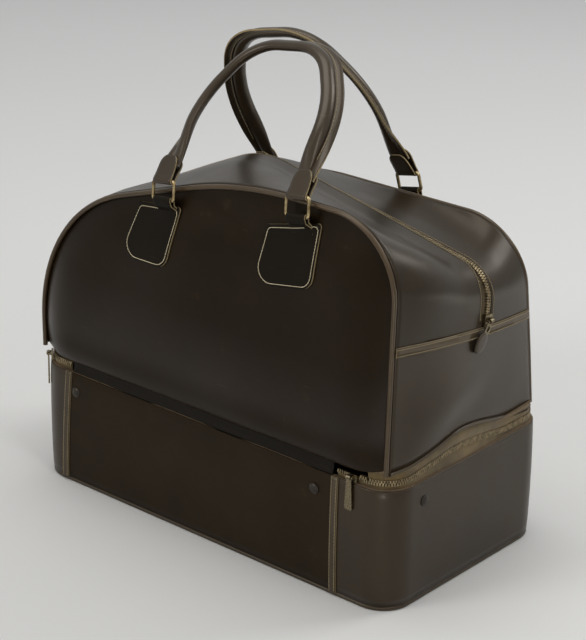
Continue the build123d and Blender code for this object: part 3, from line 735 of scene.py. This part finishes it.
def wall_part(name, material, cuts, replaced, slot="vinyl", lift=0.0, thickness=0.0016, edge=None,
              lips=False):
    """The part of the wall, lifted off it by a layer, on the outer side of each cutting plane."""
    shape = bmesh.new()
    corners = [shape.verts.new(p) for p in (wall_soft + wall_out * lift).reshape(-1, 3)]
    for face in grid_faces(*wall_soft.shape[:2]):
        shape.faces.new([corners[k] for k in face])
    for point, kept in cuts:
        whole = shape.verts[:] + shape.edges[:] + shape.faces[:]
        bmesh.ops.bisect_plane(shape, geom=whole, plane_co=point, plane_no=kept, clear_inner=True)
    shape.verts.index_update()
    points = [np.array(p.co) for p in shape.verts]
    if lips:
        points = [zip_lip(p) for p in points]
    faces = [[p.index for p in f.verts] for f in shape.faces]
    shape.free()
    made = piece(name, points, faces, material, "upper_bag", slot, replaced, bag_inside)
    thicken(made, thickness, edge)


gusset_vinyl = vinyl("gusset_vinyl", (41, 31, 17), (29, 21, 11), gloss=0.32, seed=7.9, shine=0.72)
end_vinyl = vinyl("end_vinyl", (45, 34, 20), (32, 24, 14), gloss=0.3, seed=9.2, shine=0.85)
above, below = (waist_point, waist_up), (waist_point, -waist_up)
for end, side, flat, area in (("front", -1, (0.66, 0.13), 0.075), ("rear", 1, (0.60, 0.10), 0.029)):
    slot_edge = (Vector((0, zip_y + side * slot_half, 0)), Vector((0, side, 0)))
    wall_part(
        f"{end}_gusset_vinyl", gusset_vinyl, [above, slot_edge], [f"{end}_gusset"], lips=True
    )
for end, side, flat, area in (("right", 1, (0.206, 0.112), 0.0205), ("left", -1, (0.206, 0.115), 0.021)):
    one_end = (Vector((0, 0, 0)), Vector((side, 0, 0)))
    wall_part(f"{end}_end_vinyl", end_vinyl, [below, one_end], [f"{end}_end_panel"])


# Hem
# The bag's lower edge, bound with a narrow vinyl cord where the zip tape is sewn on.
hem_vinyl = vinyl("hem_vinyl", (66, 54, 37), (44, 35, 23), gloss=0.36, seed=2.6, scuffs=0.9)
behind = zip_plan[:, 1] > 0.1045
rear_hem = np.c_[zip_plan, tape_top][behind]
hem_line = even(np.vstack([wall_soft[:, -1], rear_hem, wall_soft[::-1, 0]]), 400)
for _ in range(6):
    hem_line[1:-1] += 0.25 * (hem_line[:-2] + hem_line[2:] - 2 * hem_line[1:-1])
piece("hem_cord", *tube(hem_line, 0.0016, 10), hem_vinyl, "upper_bag", "vinyl")


# Waist bands
# Narrow vinyl strips that cover the seam between the end panels and the gussets, sewn down with two
# rows of tan thread.
band_half = 0.0045


def between(point, direction, near, far):
    """Cutting planes that keep the stretch from near to far along a direction."""
    direction = Vector(direction)
    return [(Vector(point) + direction * near, direction), (Vector(point) + direction * far, -direction)]


def waist_line(side, offset, lift):
    """A line on the wall across one end, a little above or below the waist, and the way out there."""
    line, out = [], []
    for row, ways in zip(wall_soft, wall_out):
        kept = row[:, 0] * side > 0
        height = (row[kept] - np.array(waist_point)) @ np.array(waist_up) - offset
        order = np.argsort(height)
        line.append([np.interp(0, height[order], row[kept][order, k]) for k in range(3)])
        out.append([np.interp(0, height[order], ways[kept][order, k]) for k in range(3)])
    return np.array(line) + np.array(out) * lift, np.array(out)


band_vinyl = vinyl("band_vinyl", (84, 70, 48), (54, 44, 30), gloss=0.42, seed=8.3, scuffs=1.4)
band_lines, band_outs = [], []
for side_name, side in (("right", 1), ("left", -1)):
    cuts = between(waist_point, waist_up, -band_half, band_half)
    cuts.append((Vector((0, 0, 0)), Vector((side, 0, 0))))
    wall_part(
        f"{side_name}_band_vinyl", band_vinyl, cuts, [f"{side_name}_waist_band"],
        lift=0.0012, thickness=0.0010, edge=cut_edge,
    )
    for offset in (-0.0029, 0.0029):
        line, out = waist_line(side, offset, 0.0013)
        band_lines.append(line)
        band_outs.append(out)
stitching("band_stitching", band_lines, band_outs, "upper_bag")


# Top zip
# The same khaki tape and brass teeth over the top, sewn under the edges of the two gussets with a
# row of tan thread on each side.
def zip_side_line(dy, lift):
    """A line on the wall beside the top zip, and the way out there."""
    columns = range(wall_soft.shape[1])
    pick = lambda rows, j, k: np.interp(zip_y + dy, wall_soft[:, j, 1], rows[:, j, k])
    line = np.array([[pick(wall_soft, j, k) for k in range(3)] for j in columns])
    out = np.array([[pick(wall_out, j, k) for k in range(3)] for j in columns])
    kept = (line - np.array(waist_point)) @ np.array(waist_up) > 0.006
    return (line + out * lift)[kept], out[kept]


over_waist = (waist_point + waist_up * band_half, waist_up)
for end, near, far in (("front", -0.0085, -0.0004), ("rear", 0.0004, 0.0085)):
    cuts = [over_waist] + between((0, zip_y, 0), (0, 1, 0), near, far)
    wall_part(
        f"top_{end}_tape", tape_cloth, cuts, [f"top_zip_{end}_tape"], "tape",
        lift=-0.0012, thickness=0.0006,
    )
crest_line, crest_out = zip_side_line(0, 0.0002)
crest_across = np.broadcast_to((0.0, 1.0, 0.0), crest_line.shape)
teeth("top_front_teeth", crest_line, crest_across, crest_out, tooth_size, "upper_bag", ["top_zip_chain"])
teeth("top_rear_teeth", crest_line, -crest_across, crest_out, tooth_size, "upper_bag", [], 0.5)
zip_seams = [zip_side_line(dy, 0.0002) for dy in (-0.0095, 0.0095)]
zip_seam_lines = [np.array([zip_lip(p) for p in s[0]]) for s in zip_seams]
stitching("top_zip_stitching", zip_seam_lines, [s[1] for s in zip_seams], "upper_bag")


# Pipings
# Cords wrapped in vinyl, sewn into the seams round the two big panels. They keep the bag's outline.
piping_vinyl = vinyl("piping_vinyl", (78, 62, 42), (54, 42, 27), gloss=0.28, seed=3.7, scuffs=1.0)
for end, shape, y, lean, out in (
    ("front", front_shape, front_y, 0.0, -welt_radius),
    ("rear", rear_shape, rear_y, rear_lean, welt_radius),
):
    line = even(bag_line(shape, y, lean, welt_radius, out, 24), 400)
    line = to_hem(line)
    line[:, 2] -= 0.0045 * np.clip(1 - (line[:, 2] - bag_z) / 0.02, 0, 1) * (end == "front")
    piping = piece(
        f"{end}_welt", *tube(line, welt_radius, 14), piping_vinyl, "upper_bag", "vinyl", [f"{end}_piping"]
    )


# Big panels
# Plain vinyl sheets inside the pipings. The front one is filled low down, where it bellies out over
# the case, and hangs slack between the handle patches.
def coons(bottom, top, left, right):
    """A grid of points between four edge lines; rows run from bottom to top."""
    u = np.linspace(0, 1, len(bottom))[None, :, None]
    v = np.linspace(0, 1, len(left))[:, None, None]
    ruled = (1 - v) * bottom[None] + v * top[None] + (1 - u) * left[:, None] + u * right[:, None]
    corners = (1 - v) * ((1 - u) * bottom[0] + u * bottom[-1]) + v * ((1 - u) * top[0] + u * top[-1])
    return ruled - corners


def rise_share(distance, width):
    """0 at a seam, rising quickly to 1 at a width from it."""
    return 1 - (1 - np.clip(distance / width, 0, 1)) ** 2.2


def rolled_foot(flat, out, side):
    """The panel's foot rolls under: its lowest strip is turned along a quarter of an ellipse."""
    strip, foot = 0.026, flat[0, 0, 1]
    t = np.clip((flat[:, :, 1] - foot) / strip, 0, 1)
    turn = np.radians(98 * (1 - t))
    side = rise_share(side, 0.03)
    out = out * np.cos(turn) + 0.0038 * side * (1 - np.cos(turn))
    lowest = -0.0066 + 0.0022 * np.clip((flat[:, :, 0] + 0.2) / 0.4, 0, 1)
    roll_z = foot + strip - (foot + strip - lowest) * np.sin(turn)
    z = np.where(t < 1, (1 - side) * flat[:, :, 1] + side * roll_z, flat[:, :, 1])
    return out, np.stack([flat[:, :, 0], z], axis=2)


def big_panel(name, shape, swell, place, material, replaced, roll=False):
    """A panel within its piping, swollen by swell(x, z) away from its seams."""
    per, panel_rows, panel_columns = 30, 96, 130
    edge = bag_line(shape, 0, 0, 1.5 * welt_radius, 0, per)[:, (0, 2)] - (0, bag_z)
    left, right = per + per // 2, 5 * per + per // 2
    flat = coons(
        even([edge[0], edge[-1]], panel_columns), even(edge[left:right + 1], panel_columns),
        even(edge[:left + 1], panel_rows), even(edge[right:][::-1], panel_rows),
    )
    panel_faces = grid_faces(panel_rows, panel_columns)
    seam = even(edge, 500)
    level = np.abs(np.gradient(seam, axis=0))
    level = level[:, 0] / level.sum(axis=1)
    apart = np.linalg.norm(flat[:, :, None] - seam[None, None], axis=3)
    near = apart.argmin(axis=2)
    rise = rise_share(apart.min(axis=2), 0.05 + 0.025 * level[near])
    if not roll:
        rise = rise * rise_share(flat[:, :, 1] - edge[0, 1], 0.030)
    smooth(rise, 4)
    out = rise * swell(flat[:, :, 0], flat[:, :, 1])
    if roll:
        out, flat = rolled_foot(flat, out, apart.min(axis=2))
    else:
        flare = np.clip(1 - flat[:, :, 1] / 0.035, 0, 1) ** 1.6
        out = out + 0.0098 * flare * (1 - np.abs(flat[:, :, 0] / 0.207) ** 6)
    points = np.stack(place(flat[:, :, 0], flat[:, :, 1], out), axis=2)
    if not roll:
        points = to_hem(points)
        points[:, :, 2] -= 0.0025 * np.clip(1 - flat[:, :, 1] / 0.02, 0, 1)
    made = piece(name, points, panel_faces, material, "upper_bag", "vinyl", replaced, bag_inside)
    skin = BVHTree.FromPolygons([tuple(p) for p in points.reshape(-1, 3)], panel_faces)
    thicken(made, 0.0014)
    return skin


def front_swell(x, z):
    belly = 0.0185 - 0.0125 * np.clip(z / 0.222, 0, 1) ** 1.2
    dent = 0.0035 * np.exp(-(((x - 0.020 + 0.9 * (z - 0.195)) / 0.035) ** 2) - ((z - 0.195) / 0.022) ** 2)
    slump = 0.0012 * np.sin(x * 26 + z * 17) + 0.0008 * np.sin(x * 43 - z * 31)
    return belly - dent + slump


def rear_swell(x, z):
    return 0.0085 - 0.002 * np.clip(z / 0.18, 0, 1) + 0.001 * np.sin(x * 24 + z * 19)


# The front panel's vinyl is coloured darker than the other panels': painted shade for the dark room that the
# front reflects.
front_panel_painted_shade_vinyl = vinyl(
    "front_panel_painted_shade_vinyl", (34, 24, 13), (25, 17, 8), gloss=0.30, seed=0.9, shine=0.26, belly=0.24
)
rear_panel_vinyl = vinyl("rear_panel_vinyl", (47, 36, 24), (37, 28, 18), gloss=0.32, seed=6.6)
front_skin = big_panel(
    "front_panel_painted_shade_vinyl", front_shape, front_swell, lambda x, z, out: (x, front_y - out, bag_z + z),
    front_panel_painted_shade_vinyl, ["front_panel"], True,
)
lean_sin, lean_cos = math.sin(rear_lean), math.cos(rear_lean)
rear_skin = big_panel(
    "rear_panel_vinyl", rear_shape, rear_swell,
    lambda x, z, out: (x, rear_y - z * lean_sin + out * lean_cos, bag_z + z * lean_cos + out * lean_sin),
    rear_panel_vinyl, ["rear_panel"],
)


# Chapes
# Vinyl patches with rounded feet, sewn to the big panels with pale thread. Each has a folded loop
# at its head that holds a wire ring.
def pair_frame(mid, tilt, ring_lean, handle_lean, spacing, arch, outward, flange):
    """The places and directions of one handle with its two rings."""
    tilt = math.radians(tilt)
    axis = np.array((math.cos(tilt), 0, math.sin(tilt)))
    upright = np.array((-math.sin(tilt), 0, math.cos(tilt)))
    to_rear = np.array((0, 1.0, 0))
    leaned = lambda a: math.cos(math.radians(a)) * upright + math.sin(math.radians(a)) * to_rear
    return {
        "axis": axis, "arch": arch, "out": np.array(outward), "flange": flange,
        "ring_rise": leaned(ring_lean), "handle_rise": leaned(handle_lean), "mid": np.array(mid),
        "left": np.array(mid) - spacing / 2 * axis, "right": np.array(mid) + spacing / 2 * axis,
        "spacing": spacing,
    }


ring_tall, wire_radius = 0.017, 0.0015
pairs = {
    "front": pair_frame(
        mid=(0.035475, -0.1195, 0.332016), tilt=8.5, ring_lean=12, handle_lean=43.5, spacing=0.155,
        arch=0.143, outward=(0, -1.0, 0), flange=-1,
    ),
    "rear": pair_frame(
        mid=(-0.00645, 0.082533, 0.28856), tilt=12, ring_lean=-5, handle_lean=-24, spacing=0.165,
        arch=0.156, outward=(0, lean_cos, lean_sin), flange=1,
    ),
}
skins = {"front": front_skin, "rear": rear_skin}
patch_corners = {
    "front_left": [(-0.038, -0.007), (0.015, -0.007), (-0.005, -0.063), (-0.063, -0.056)],
    "front_right": [(-0.041, -0.012), (0.020, -0.006), (0.008, -0.063), (-0.060, -0.065)],
}
for name in ("rear_left", "rear_right"):
    patch_corners[name] = [(-0.026, -0.009), (0.026, -0.009), (0.029, -0.062), (-0.029, -0.062)]
head_round, foot_round, patch_thick, seam_inset = 0.003, 0.015, 0.0017, 0.0026
loop_radius, loop_wide, loop_thick, loop_count = 0.0026, 0.0206, 0.0012, 44
pale_thread, where, feed = new_finish("pale_thread", Sheen_Weight=0.3)
fade = where.noise(60.0)
feed(Base_Color=fade.mix(rgba(196, 180, 142), rgba(226, 212, 178)), Roughness=0.7 + 0.1 * fade)
patch_vinyl = vinyl("patch_vinyl", (24, 20, 14), (18, 15, 10), gloss=0.50, seed=5.8, scuffs=0.4, shine=0.2)


def strap(name, line, across, widths, material, body, thickness):
    """A flat strap along a line, with cut edges."""
    u = np.linspace(-1, 1, 9)[None, :, None]
    points = np.asarray(line)[:, None] + across * u * np.asarray(widths)[:, None, None] / 2
    made = piece(name, points, grid_faces(len(points), 9), material, body, "vinyl")
    thicken(made, thickness, cut_edge, 0)


def arc(radius, start, end, count=10):
    turn = np.radians(np.linspace(start, end, count))
    return np.stack([radius * np.sin(turn), radius * np.cos(turn)], axis=1)


for end, pair in pairs.items():
    skin, out = skins[end], pair["out"]
    for side_name in ("left", "right"):
        name, place = f"{end}_{side_name}", pair[side_name]
        x_way = pair["axis"] if end == "front" else -pair["axis"]
        y_way = np.cross(out, x_way)

        def settle(point, lift):
            """The spot on the panel under a point, lifted off it."""
            hit = skin.ray_cast(Vector(point + out * 0.06), Vector(-out), 0.2)
            spot = np.array(hit[0]) if hit[0] else point - out * 0.006
            return spot + out * lift

        head_left, head_right, foot_right, foot_left = (np.array(c) for c in patch_corners[name])
        middle = (head_left + head_right + foot_left + foot_right) / 4

        def patch_outline(inset):
            """The patch's edge, drawn in, as places on the panel."""
            head = (head_left + head_right) / 2
            drawn = [head, head_left, foot_left, foot_right, head_right, head]
            drawn = [c + unit(middle - c) * inset * 1.25 for c in drawn]
            rounds = [0, head_round, foot_round - inset, foot_round - inset, head_round, 0]
            return even(outline(drawn, rounds, 14), 120)

        def patch_place(spot, lift):
            bump = 0.0022 * math.exp(-((spot[0] / 0.012) ** 2) - ((spot[1] + 0.010) / 0.007) ** 2)
            return settle(place + x_way * spot[0] + y_way * spot[1], lift + bump)

        rings = [patch_outline(0)[:-1]]
        rings += [middle + (rings[0] - middle) * s for s in (0.93, 0.80, 0.60, 0.35)]
        sides, last = len(rings[0]), (len(rings) - 1) * len(rings[0])
        patch_points = [patch_place(spot, 0.0) for spot in [*np.vstack(rings), middle]]
        patch_faces = grid_faces(len(rings), sides, wrap_columns=True)
        patch_faces += [(last + k, last + sides, last + (k + 1) % sides) for k in range(sides)]
        patch = piece(
            f"{name}_patch", patch_points, patch_faces, patch_vinyl, "upper_bag", "vinyl", [f"{name}_chape"],
            bag_inside,
        )
        thicken(patch, patch_thick, cut_edge, 1)
        seam = [patch_place(spot, 0.0018) for spot in patch_outline(seam_inset)]
        stitching(f"{name}_patch_stitching", [seam], [out], "upper_bag", 0.0030, 0.00034, pale_thread)

        depth_at = lambda b: (settle(place - y_way * b, 0.0) - place) @ out
        front_leg = [(-b, depth_at(b) + 0.0018) for b in (0.016, 0.011)]
        back_leg = [(-b, depth_at(b) + 0.0007) for b in (0.010, 0.015)]
        turned = arc(loop_radius, -10, 190)
        fold = np.vstack([front_leg, [(-0.005, 0.0016)], turned, [(-0.005, -0.0022)], back_leg])
        loop = place + fold[:, :1] * y_way + fold[:, 1:] * out
        strap(
            f"{name}_loop", even(loop, loop_count), x_way, np.full(loop_count, loop_wide), patch_vinyl,
            "upper_bag", loop_thick,
        )


# Rings
# Rounded rectangles bent from pale brass wire. Each hangs in a chape's loop and carries one end of a
# handle.
ring_brass = speckled(
    "ring_brass", 160.0, 0.35, 0.7, ((118, 100, 68), (188, 170, 130)), roughness=(0.22, 0.25), metallic=1.0
)
ring_half, ring_round = 0.0125, 0.003
ring_corners = [(ring_half, 0), (ring_half, ring_tall), (-ring_half, ring_tall), (-ring_half, 0)]
wire = outline([(0, 0), *ring_corners, (0, 0)], [0] + [ring_round] * 4 + [0], 8)[:-1]
for end, pair in pairs.items():
    for side_name in ("left", "right"):
        line = pair[side_name] + wire[:, :1] * pair["axis"] + wire[:, 1:] * pair["ring_rise"]
        piece(
            f"{end}_{side_name}_wire", *tube(line, wire_radius, 12, True), ring_brass, f"{end}_rings",
            "fittings", [f"{end}_{side_name}_ring"],
        )


# Handles
# Rolls of dark brown vinyl round a cord, closed by a stitched flange, with flat folded ends that
# are sewn round the rings' upper bars.
handle_vinyl = vinyl("handle_vinyl", (58, 47, 34), (40, 32, 22), gloss=0.28, seed=1.2, scuffs=1.0)
roll_half_wide, roll_half_thick, flange_wide, tab_tall = 0.0065, 0.0047, 0.0075, 0.023
roll_count, roll_sides, roll_shift, seam_half, seam_out, seam_start = 220, 24, 0.0045, 0.00145, 0.0016, 0.02
flat_reach, lean_reach, flange_lean, tab_wide, tab_thick = 0.022, 0.05, math.radians(45), 0.0212, 0.0013
arch_shares = [(-0.5, 0.1), (-0.495, 0.58), (-0.27, 1), (0.27, 1), (0.495, 0.58), (0.5, 0.1)]
arch_rounds = [0, 0.72, 0.36, 0.36, 0.72, 0]
for end, pair in pairs.items():
    upper = pair["mid"] + ring_tall * pair["ring_rise"]
    axis, rise = pair["axis"], pair["handle_rise"]
    normal = np.cross(axis, rise)
    body = f"{end}_grip"
    corners = [(x * pair["spacing"], z * pair["arch"]) for x, z in arch_shares]
    arch = outline(corners, [r * pair["arch"] for r in arch_rounds], 20)
    line = even(upper + arch[:, :1] * axis + arch[:, 1:] * rise, roll_count)
    along = travelled(line)
    from_end = np.minimum(along, along[-1] - along)
    at_end = np.exp(-((from_end / flat_reach) ** 2))
    way = unit(np.gradient(line, axis=0))
    outward = np.cross(normal, way)
    outward *= np.sign((outward * (line - upper - 0.4 * pair["arch"] * rise)).sum(axis=1))[:, None]
    lean = flange_lean * ease(from_end / lean_reach)[:, None]
    wide_way = outward * np.cos(lean) + normal * pair["flange"] * np.sin(lean)
    thick_way = np.cross(way, wide_way)
    middle = line - wide_way * roll_shift
    half_thick = roll_half_thick * (1 - 0.45 * at_end)
    rings = [
        middle + wide_way * roll_half_wide * math.cos(a) + thick_way * (half_thick * math.sin(a))[:, None]
        for a in np.linspace(0, 2 * math.pi, roll_sides, endpoint=False)
    ]
    roll = piece(
        f"{end}_roll", np.stack(rings, axis=1), capped(roll_count, roll_sides), handle_vinyl, body, "vinyl",
        [f"{end}_handle"], upper,
    )
    section = [(0.0, 0.0014), (0.90, 0.0013), (1.0, 0.0009), (1.0, -0.0009), (0.90, -0.0013), (0.0, -0.0014)]
    rim = np.stack(
        [middle + wide_way * (0.7 * roll_half_wide + f * (0.3 * roll_half_wide + flange_wide)) + thick_way * s
         for f, s in section], axis=1
    )
    rim_faces = grid_faces(roll_count, len(section), wrap_columns=True)
    flange = piece(f"{end}_flange", rim, rim_faces, handle_vinyl, body, "vinyl")
    flange.data.materials.append(cut_edge)
    for face in flange.data.polygons:
        face.material_index = int(face.index % len(section) == 2)
    kept = from_end > seam_start
    seams = [middle + wide_way * (roll_half_wide + seam_out) + thick_way * s for s in (seam_half, -seam_half)]
    stitching(
        f"{end}_handle_stitching", [seam[kept] for seam in seams], [thick_way[kept], -thick_way[kept]], body,
        0.0036, 0.00034,
    )
    for side_name in ("left", "right"):
        place = pair[side_name] + ring_tall * pair["ring_rise"]
        leg = np.array([(tab_tall, 0.0043), (0.017, 0.0040), (0.011, 0.0033), (0.005, 0.0027)])
        fold = np.vstack([leg, arc(loop_radius, 0, -180), (leg * (1, -1))[::-1]])
        fold = even(fold, 50)
        tab = place + fold[:, :1] * rise + fold[:, 1:] * normal
        up_tab = np.clip(fold[:, 0] / tab_tall, 0, 1)
        widths = tab_wide - 0.0025 * up_tab - 0.009 * up_tab ** 8
        strap(f"{end}_{side_name}_tab", tab, axis, widths, handle_vinyl, body, tab_thick)


# Sliders and pulls
# Cast brass zip sliders with a bridge for the pull. The lower zip has flat tongues, and the top one
# a wire link with an oval tab of two vinyl layers.
slider_brass = speckled(
    "slider_brass", 900.0, 0.35, 0.68, ((92, 82, 64), (148, 136, 110)), roughness=(0.25, 0.25), metallic=1.0
)
for fitting in ("right_slider", "right_pull", "left_slider", "left_pull", "top_slider", "top_pull_link"):
    dress(fitting, slider_brass)
    rounding = nodes[fitting].modifiers.new("rounding", "BEVEL")
    rounding.width = 0.0003
    rounding.segments = 2
    rounding.angle_limit = math.radians(50)
side_lean = math.atan2(0.038 * half_length, 0.67 * bag_height)
tab_out = np.array((math.cos(side_lean), 0, -math.sin(side_lean)))
tab_up = np.array((math.sin(side_lean), 0, math.cos(side_lean)))
hang = math.radians(-35)
tab_x = np.array((0, 1.0, 0)) * math.cos(hang) + tab_up * math.sin(hang)
tab_y = tab_up * math.cos(hang) - np.array((0, 1.0, 0)) * math.sin(hang)
tab_middle = np.array((0.222691, 0.008, 0.242682)) - tab_y * 0.0209
tab_profile = [(0.02, 0.0016), (0.4, 0.0016), (0.75, 0.0014), (0.93, 0.0011), (1.0, 0.0005)]
tab_profile += [(s, -h) for s, h in tab_profile[::-1]]
tab_half_wide, tab_half_tall = 0.007, 0.010
around = np.linspace(0, 2 * math.pi, 40, endpoint=False)
tab_points = [
    tab_middle + s * (tab_half_wide * math.cos(a) * tab_x + tab_half_tall * math.sin(a) * tab_y) + h * tab_out
    for s, h in tab_profile for a in around
]
pull_tab = piece(
    "top_tab_vinyl", tab_points, capped(len(tab_profile), len(around)), handle_vinyl, "top_pull", "vinyl",
    ["top_pull_tab"], tab_middle,
)


# Floor
# A plain pale floor, painted a little paler towards the back and the left; this paleness is painted light,
# brightening the far floor behind the bag.
floor_paint, where, feed = new_finish("floor_paint", Specular_IOR_Level=0.2)
unevenness = where.noise(1.3, 2.0)
along, into = where.node("SeparateXYZ", out=0, Vector=where), where.node("SeparateXYZ", out=1, Vector=where)
# Painted light: the floor's colour grows paler towards the back and the left.
far = (0.5 * into - 0.3 * along).ramp((0.0, 0), (0.9, 1))
pale = (0.9 * far + 0.1 * unevenness).mix(rgba(234, 233, 230), rgba(250, 250, 249))
feed(Base_Color=pale, Roughness=0.7 + 0.1 * unevenness)
floor_mesh = bpy.data.meshes.new("floor")
reach = 6
floor_corners = [(-reach, -reach, 0), (reach, -reach, 0), (reach, reach, 0), (-reach, reach, 0)]
floor_mesh.from_pydata(floor_corners, [], [(0, 1, 2, 3)])
floor_mesh.materials.append(floor_paint)
floor = bpy.data.objects.new("floor", floor_mesh)
bpy.context.scene.collection.objects.link(floor)


# Light and camera
# Daylight from a window behind on the right and a smaller one at the right, the ceiling and a fill from
# the front, in a room that the bag reflects as pale. The floor behind has a small light of its own.
def lamp(name, place, target, size, power, spread=180):
    light = bpy.data.lights.new(name, "AREA")
    light.shape = "RECTANGLE"
    light.size, light.size_y = size
    light.energy = power
    light.spread = math.radians(spread)
    made = bpy.data.objects.new(name, light)
    made.location = place
    made.rotation_euler = (Vector(target) - Vector(place)).to_track_quat("-Z", "Y").to_euler()
    bpy.context.scene.collection.objects.link(made)


lamp("window", (0.96, 1.66, 1.65), (0, 0, 0.2), size=(0.8, 0.9), power=13)
lamp("pool", (0.95, 0.80, 0.90), (0.95, 0.80, 0.0), size=(0.4, 0.4), power=2.5, spread=70)
lamp("side_window", (1.84, -0.63, 1.66), (0, 0, 0.25), size=(0.5, 0.9), power=7)
lamp("glint", (0.56, -0.70, 0.05), (0.2, -0.11, 0.29), size=(0.12, 0.16), power=0.6)
lamp("ceiling", (-0.2, -0.2, 2.7), (0, 0, 0.1), size=(2.0, 2.0), power=33)
lamp("fill", (-1.0, -2.4, 1.5), (0, 0, 0.2), size=(1.0, 1.0), power=19)
world = bpy.data.worlds.new("room")
bpy.context.scene.world = world
world.use_nodes = True
room = Value(world.node_tree)
seen = room.node("LightPath", out="Is Camera Ray") + room.node("LightPath", out="Is Glossy Ray")
seen = (seen + room.node("LightPath", out="Is Transmission Ray")).ramp((0.0, 0), (1.0, 1))
way = room.node("SeparateXYZ", out=1, Vector=room.node("TexCoord", out="Generated"))
walls = (0.5 * way + 0.5).ramp((0.3, 0), (0.75, 1)).mix(rgba(66, 65, 63), rgba(146, 147, 148))
room_back = world.node_tree.nodes["Background"]
world.node_tree.links.new(seen.mix(walls, rgba(206, 206, 204)).socket, room_back.inputs["Color"])
room_back.inputs["Strength"].default_value = 1.0
bpy.context.scene.view_settings.view_transform = "Standard"

camera_azimuth, camera_elevation, camera_roll = (math.radians(a) for a in (40.74, 22.46, 0.84))
camera_target, camera_distance = Vector((-0.00187, 0, 0.19204)), 2.0997
back = Vector(
    (
        math.sin(camera_azimuth) * math.cos(camera_elevation),
        -math.cos(camera_azimuth) * math.cos(camera_elevation),
        math.sin(camera_elevation),
    )
)
level = Vector((math.cos(camera_azimuth), math.sin(camera_azimuth), 0))
rise = back.cross(level)
right = level * math.cos(camera_roll) + rise * math.sin(camera_roll)
up = rise * math.cos(camera_roll) - level * math.sin(camera_roll)
camera = bpy.data.objects.new("camera", bpy.data.cameras.new("camera"))
bpy.context.scene.collection.objects.link(camera)
turn = Matrix((right, up, back)).transposed().to_4x4()
camera.matrix_world = Matrix.Translation(camera_target + back * camera_distance) @ turn
image_wide, image_tall, focal_px, axis_px, sensor = 586, 640, 2287.4, (285.65, 309.86), 36
camera.data.sensor_width = sensor
camera.data.lens = focal_px * sensor / image_tall
camera.data.shift_x = (image_wide / 2 - axis_px[0]) / image_tall
camera.data.shift_y = (axis_px[1] - image_tall / 2) / image_tall
camera.data.clip_end = 50
bpy.context.scene.camera = camera
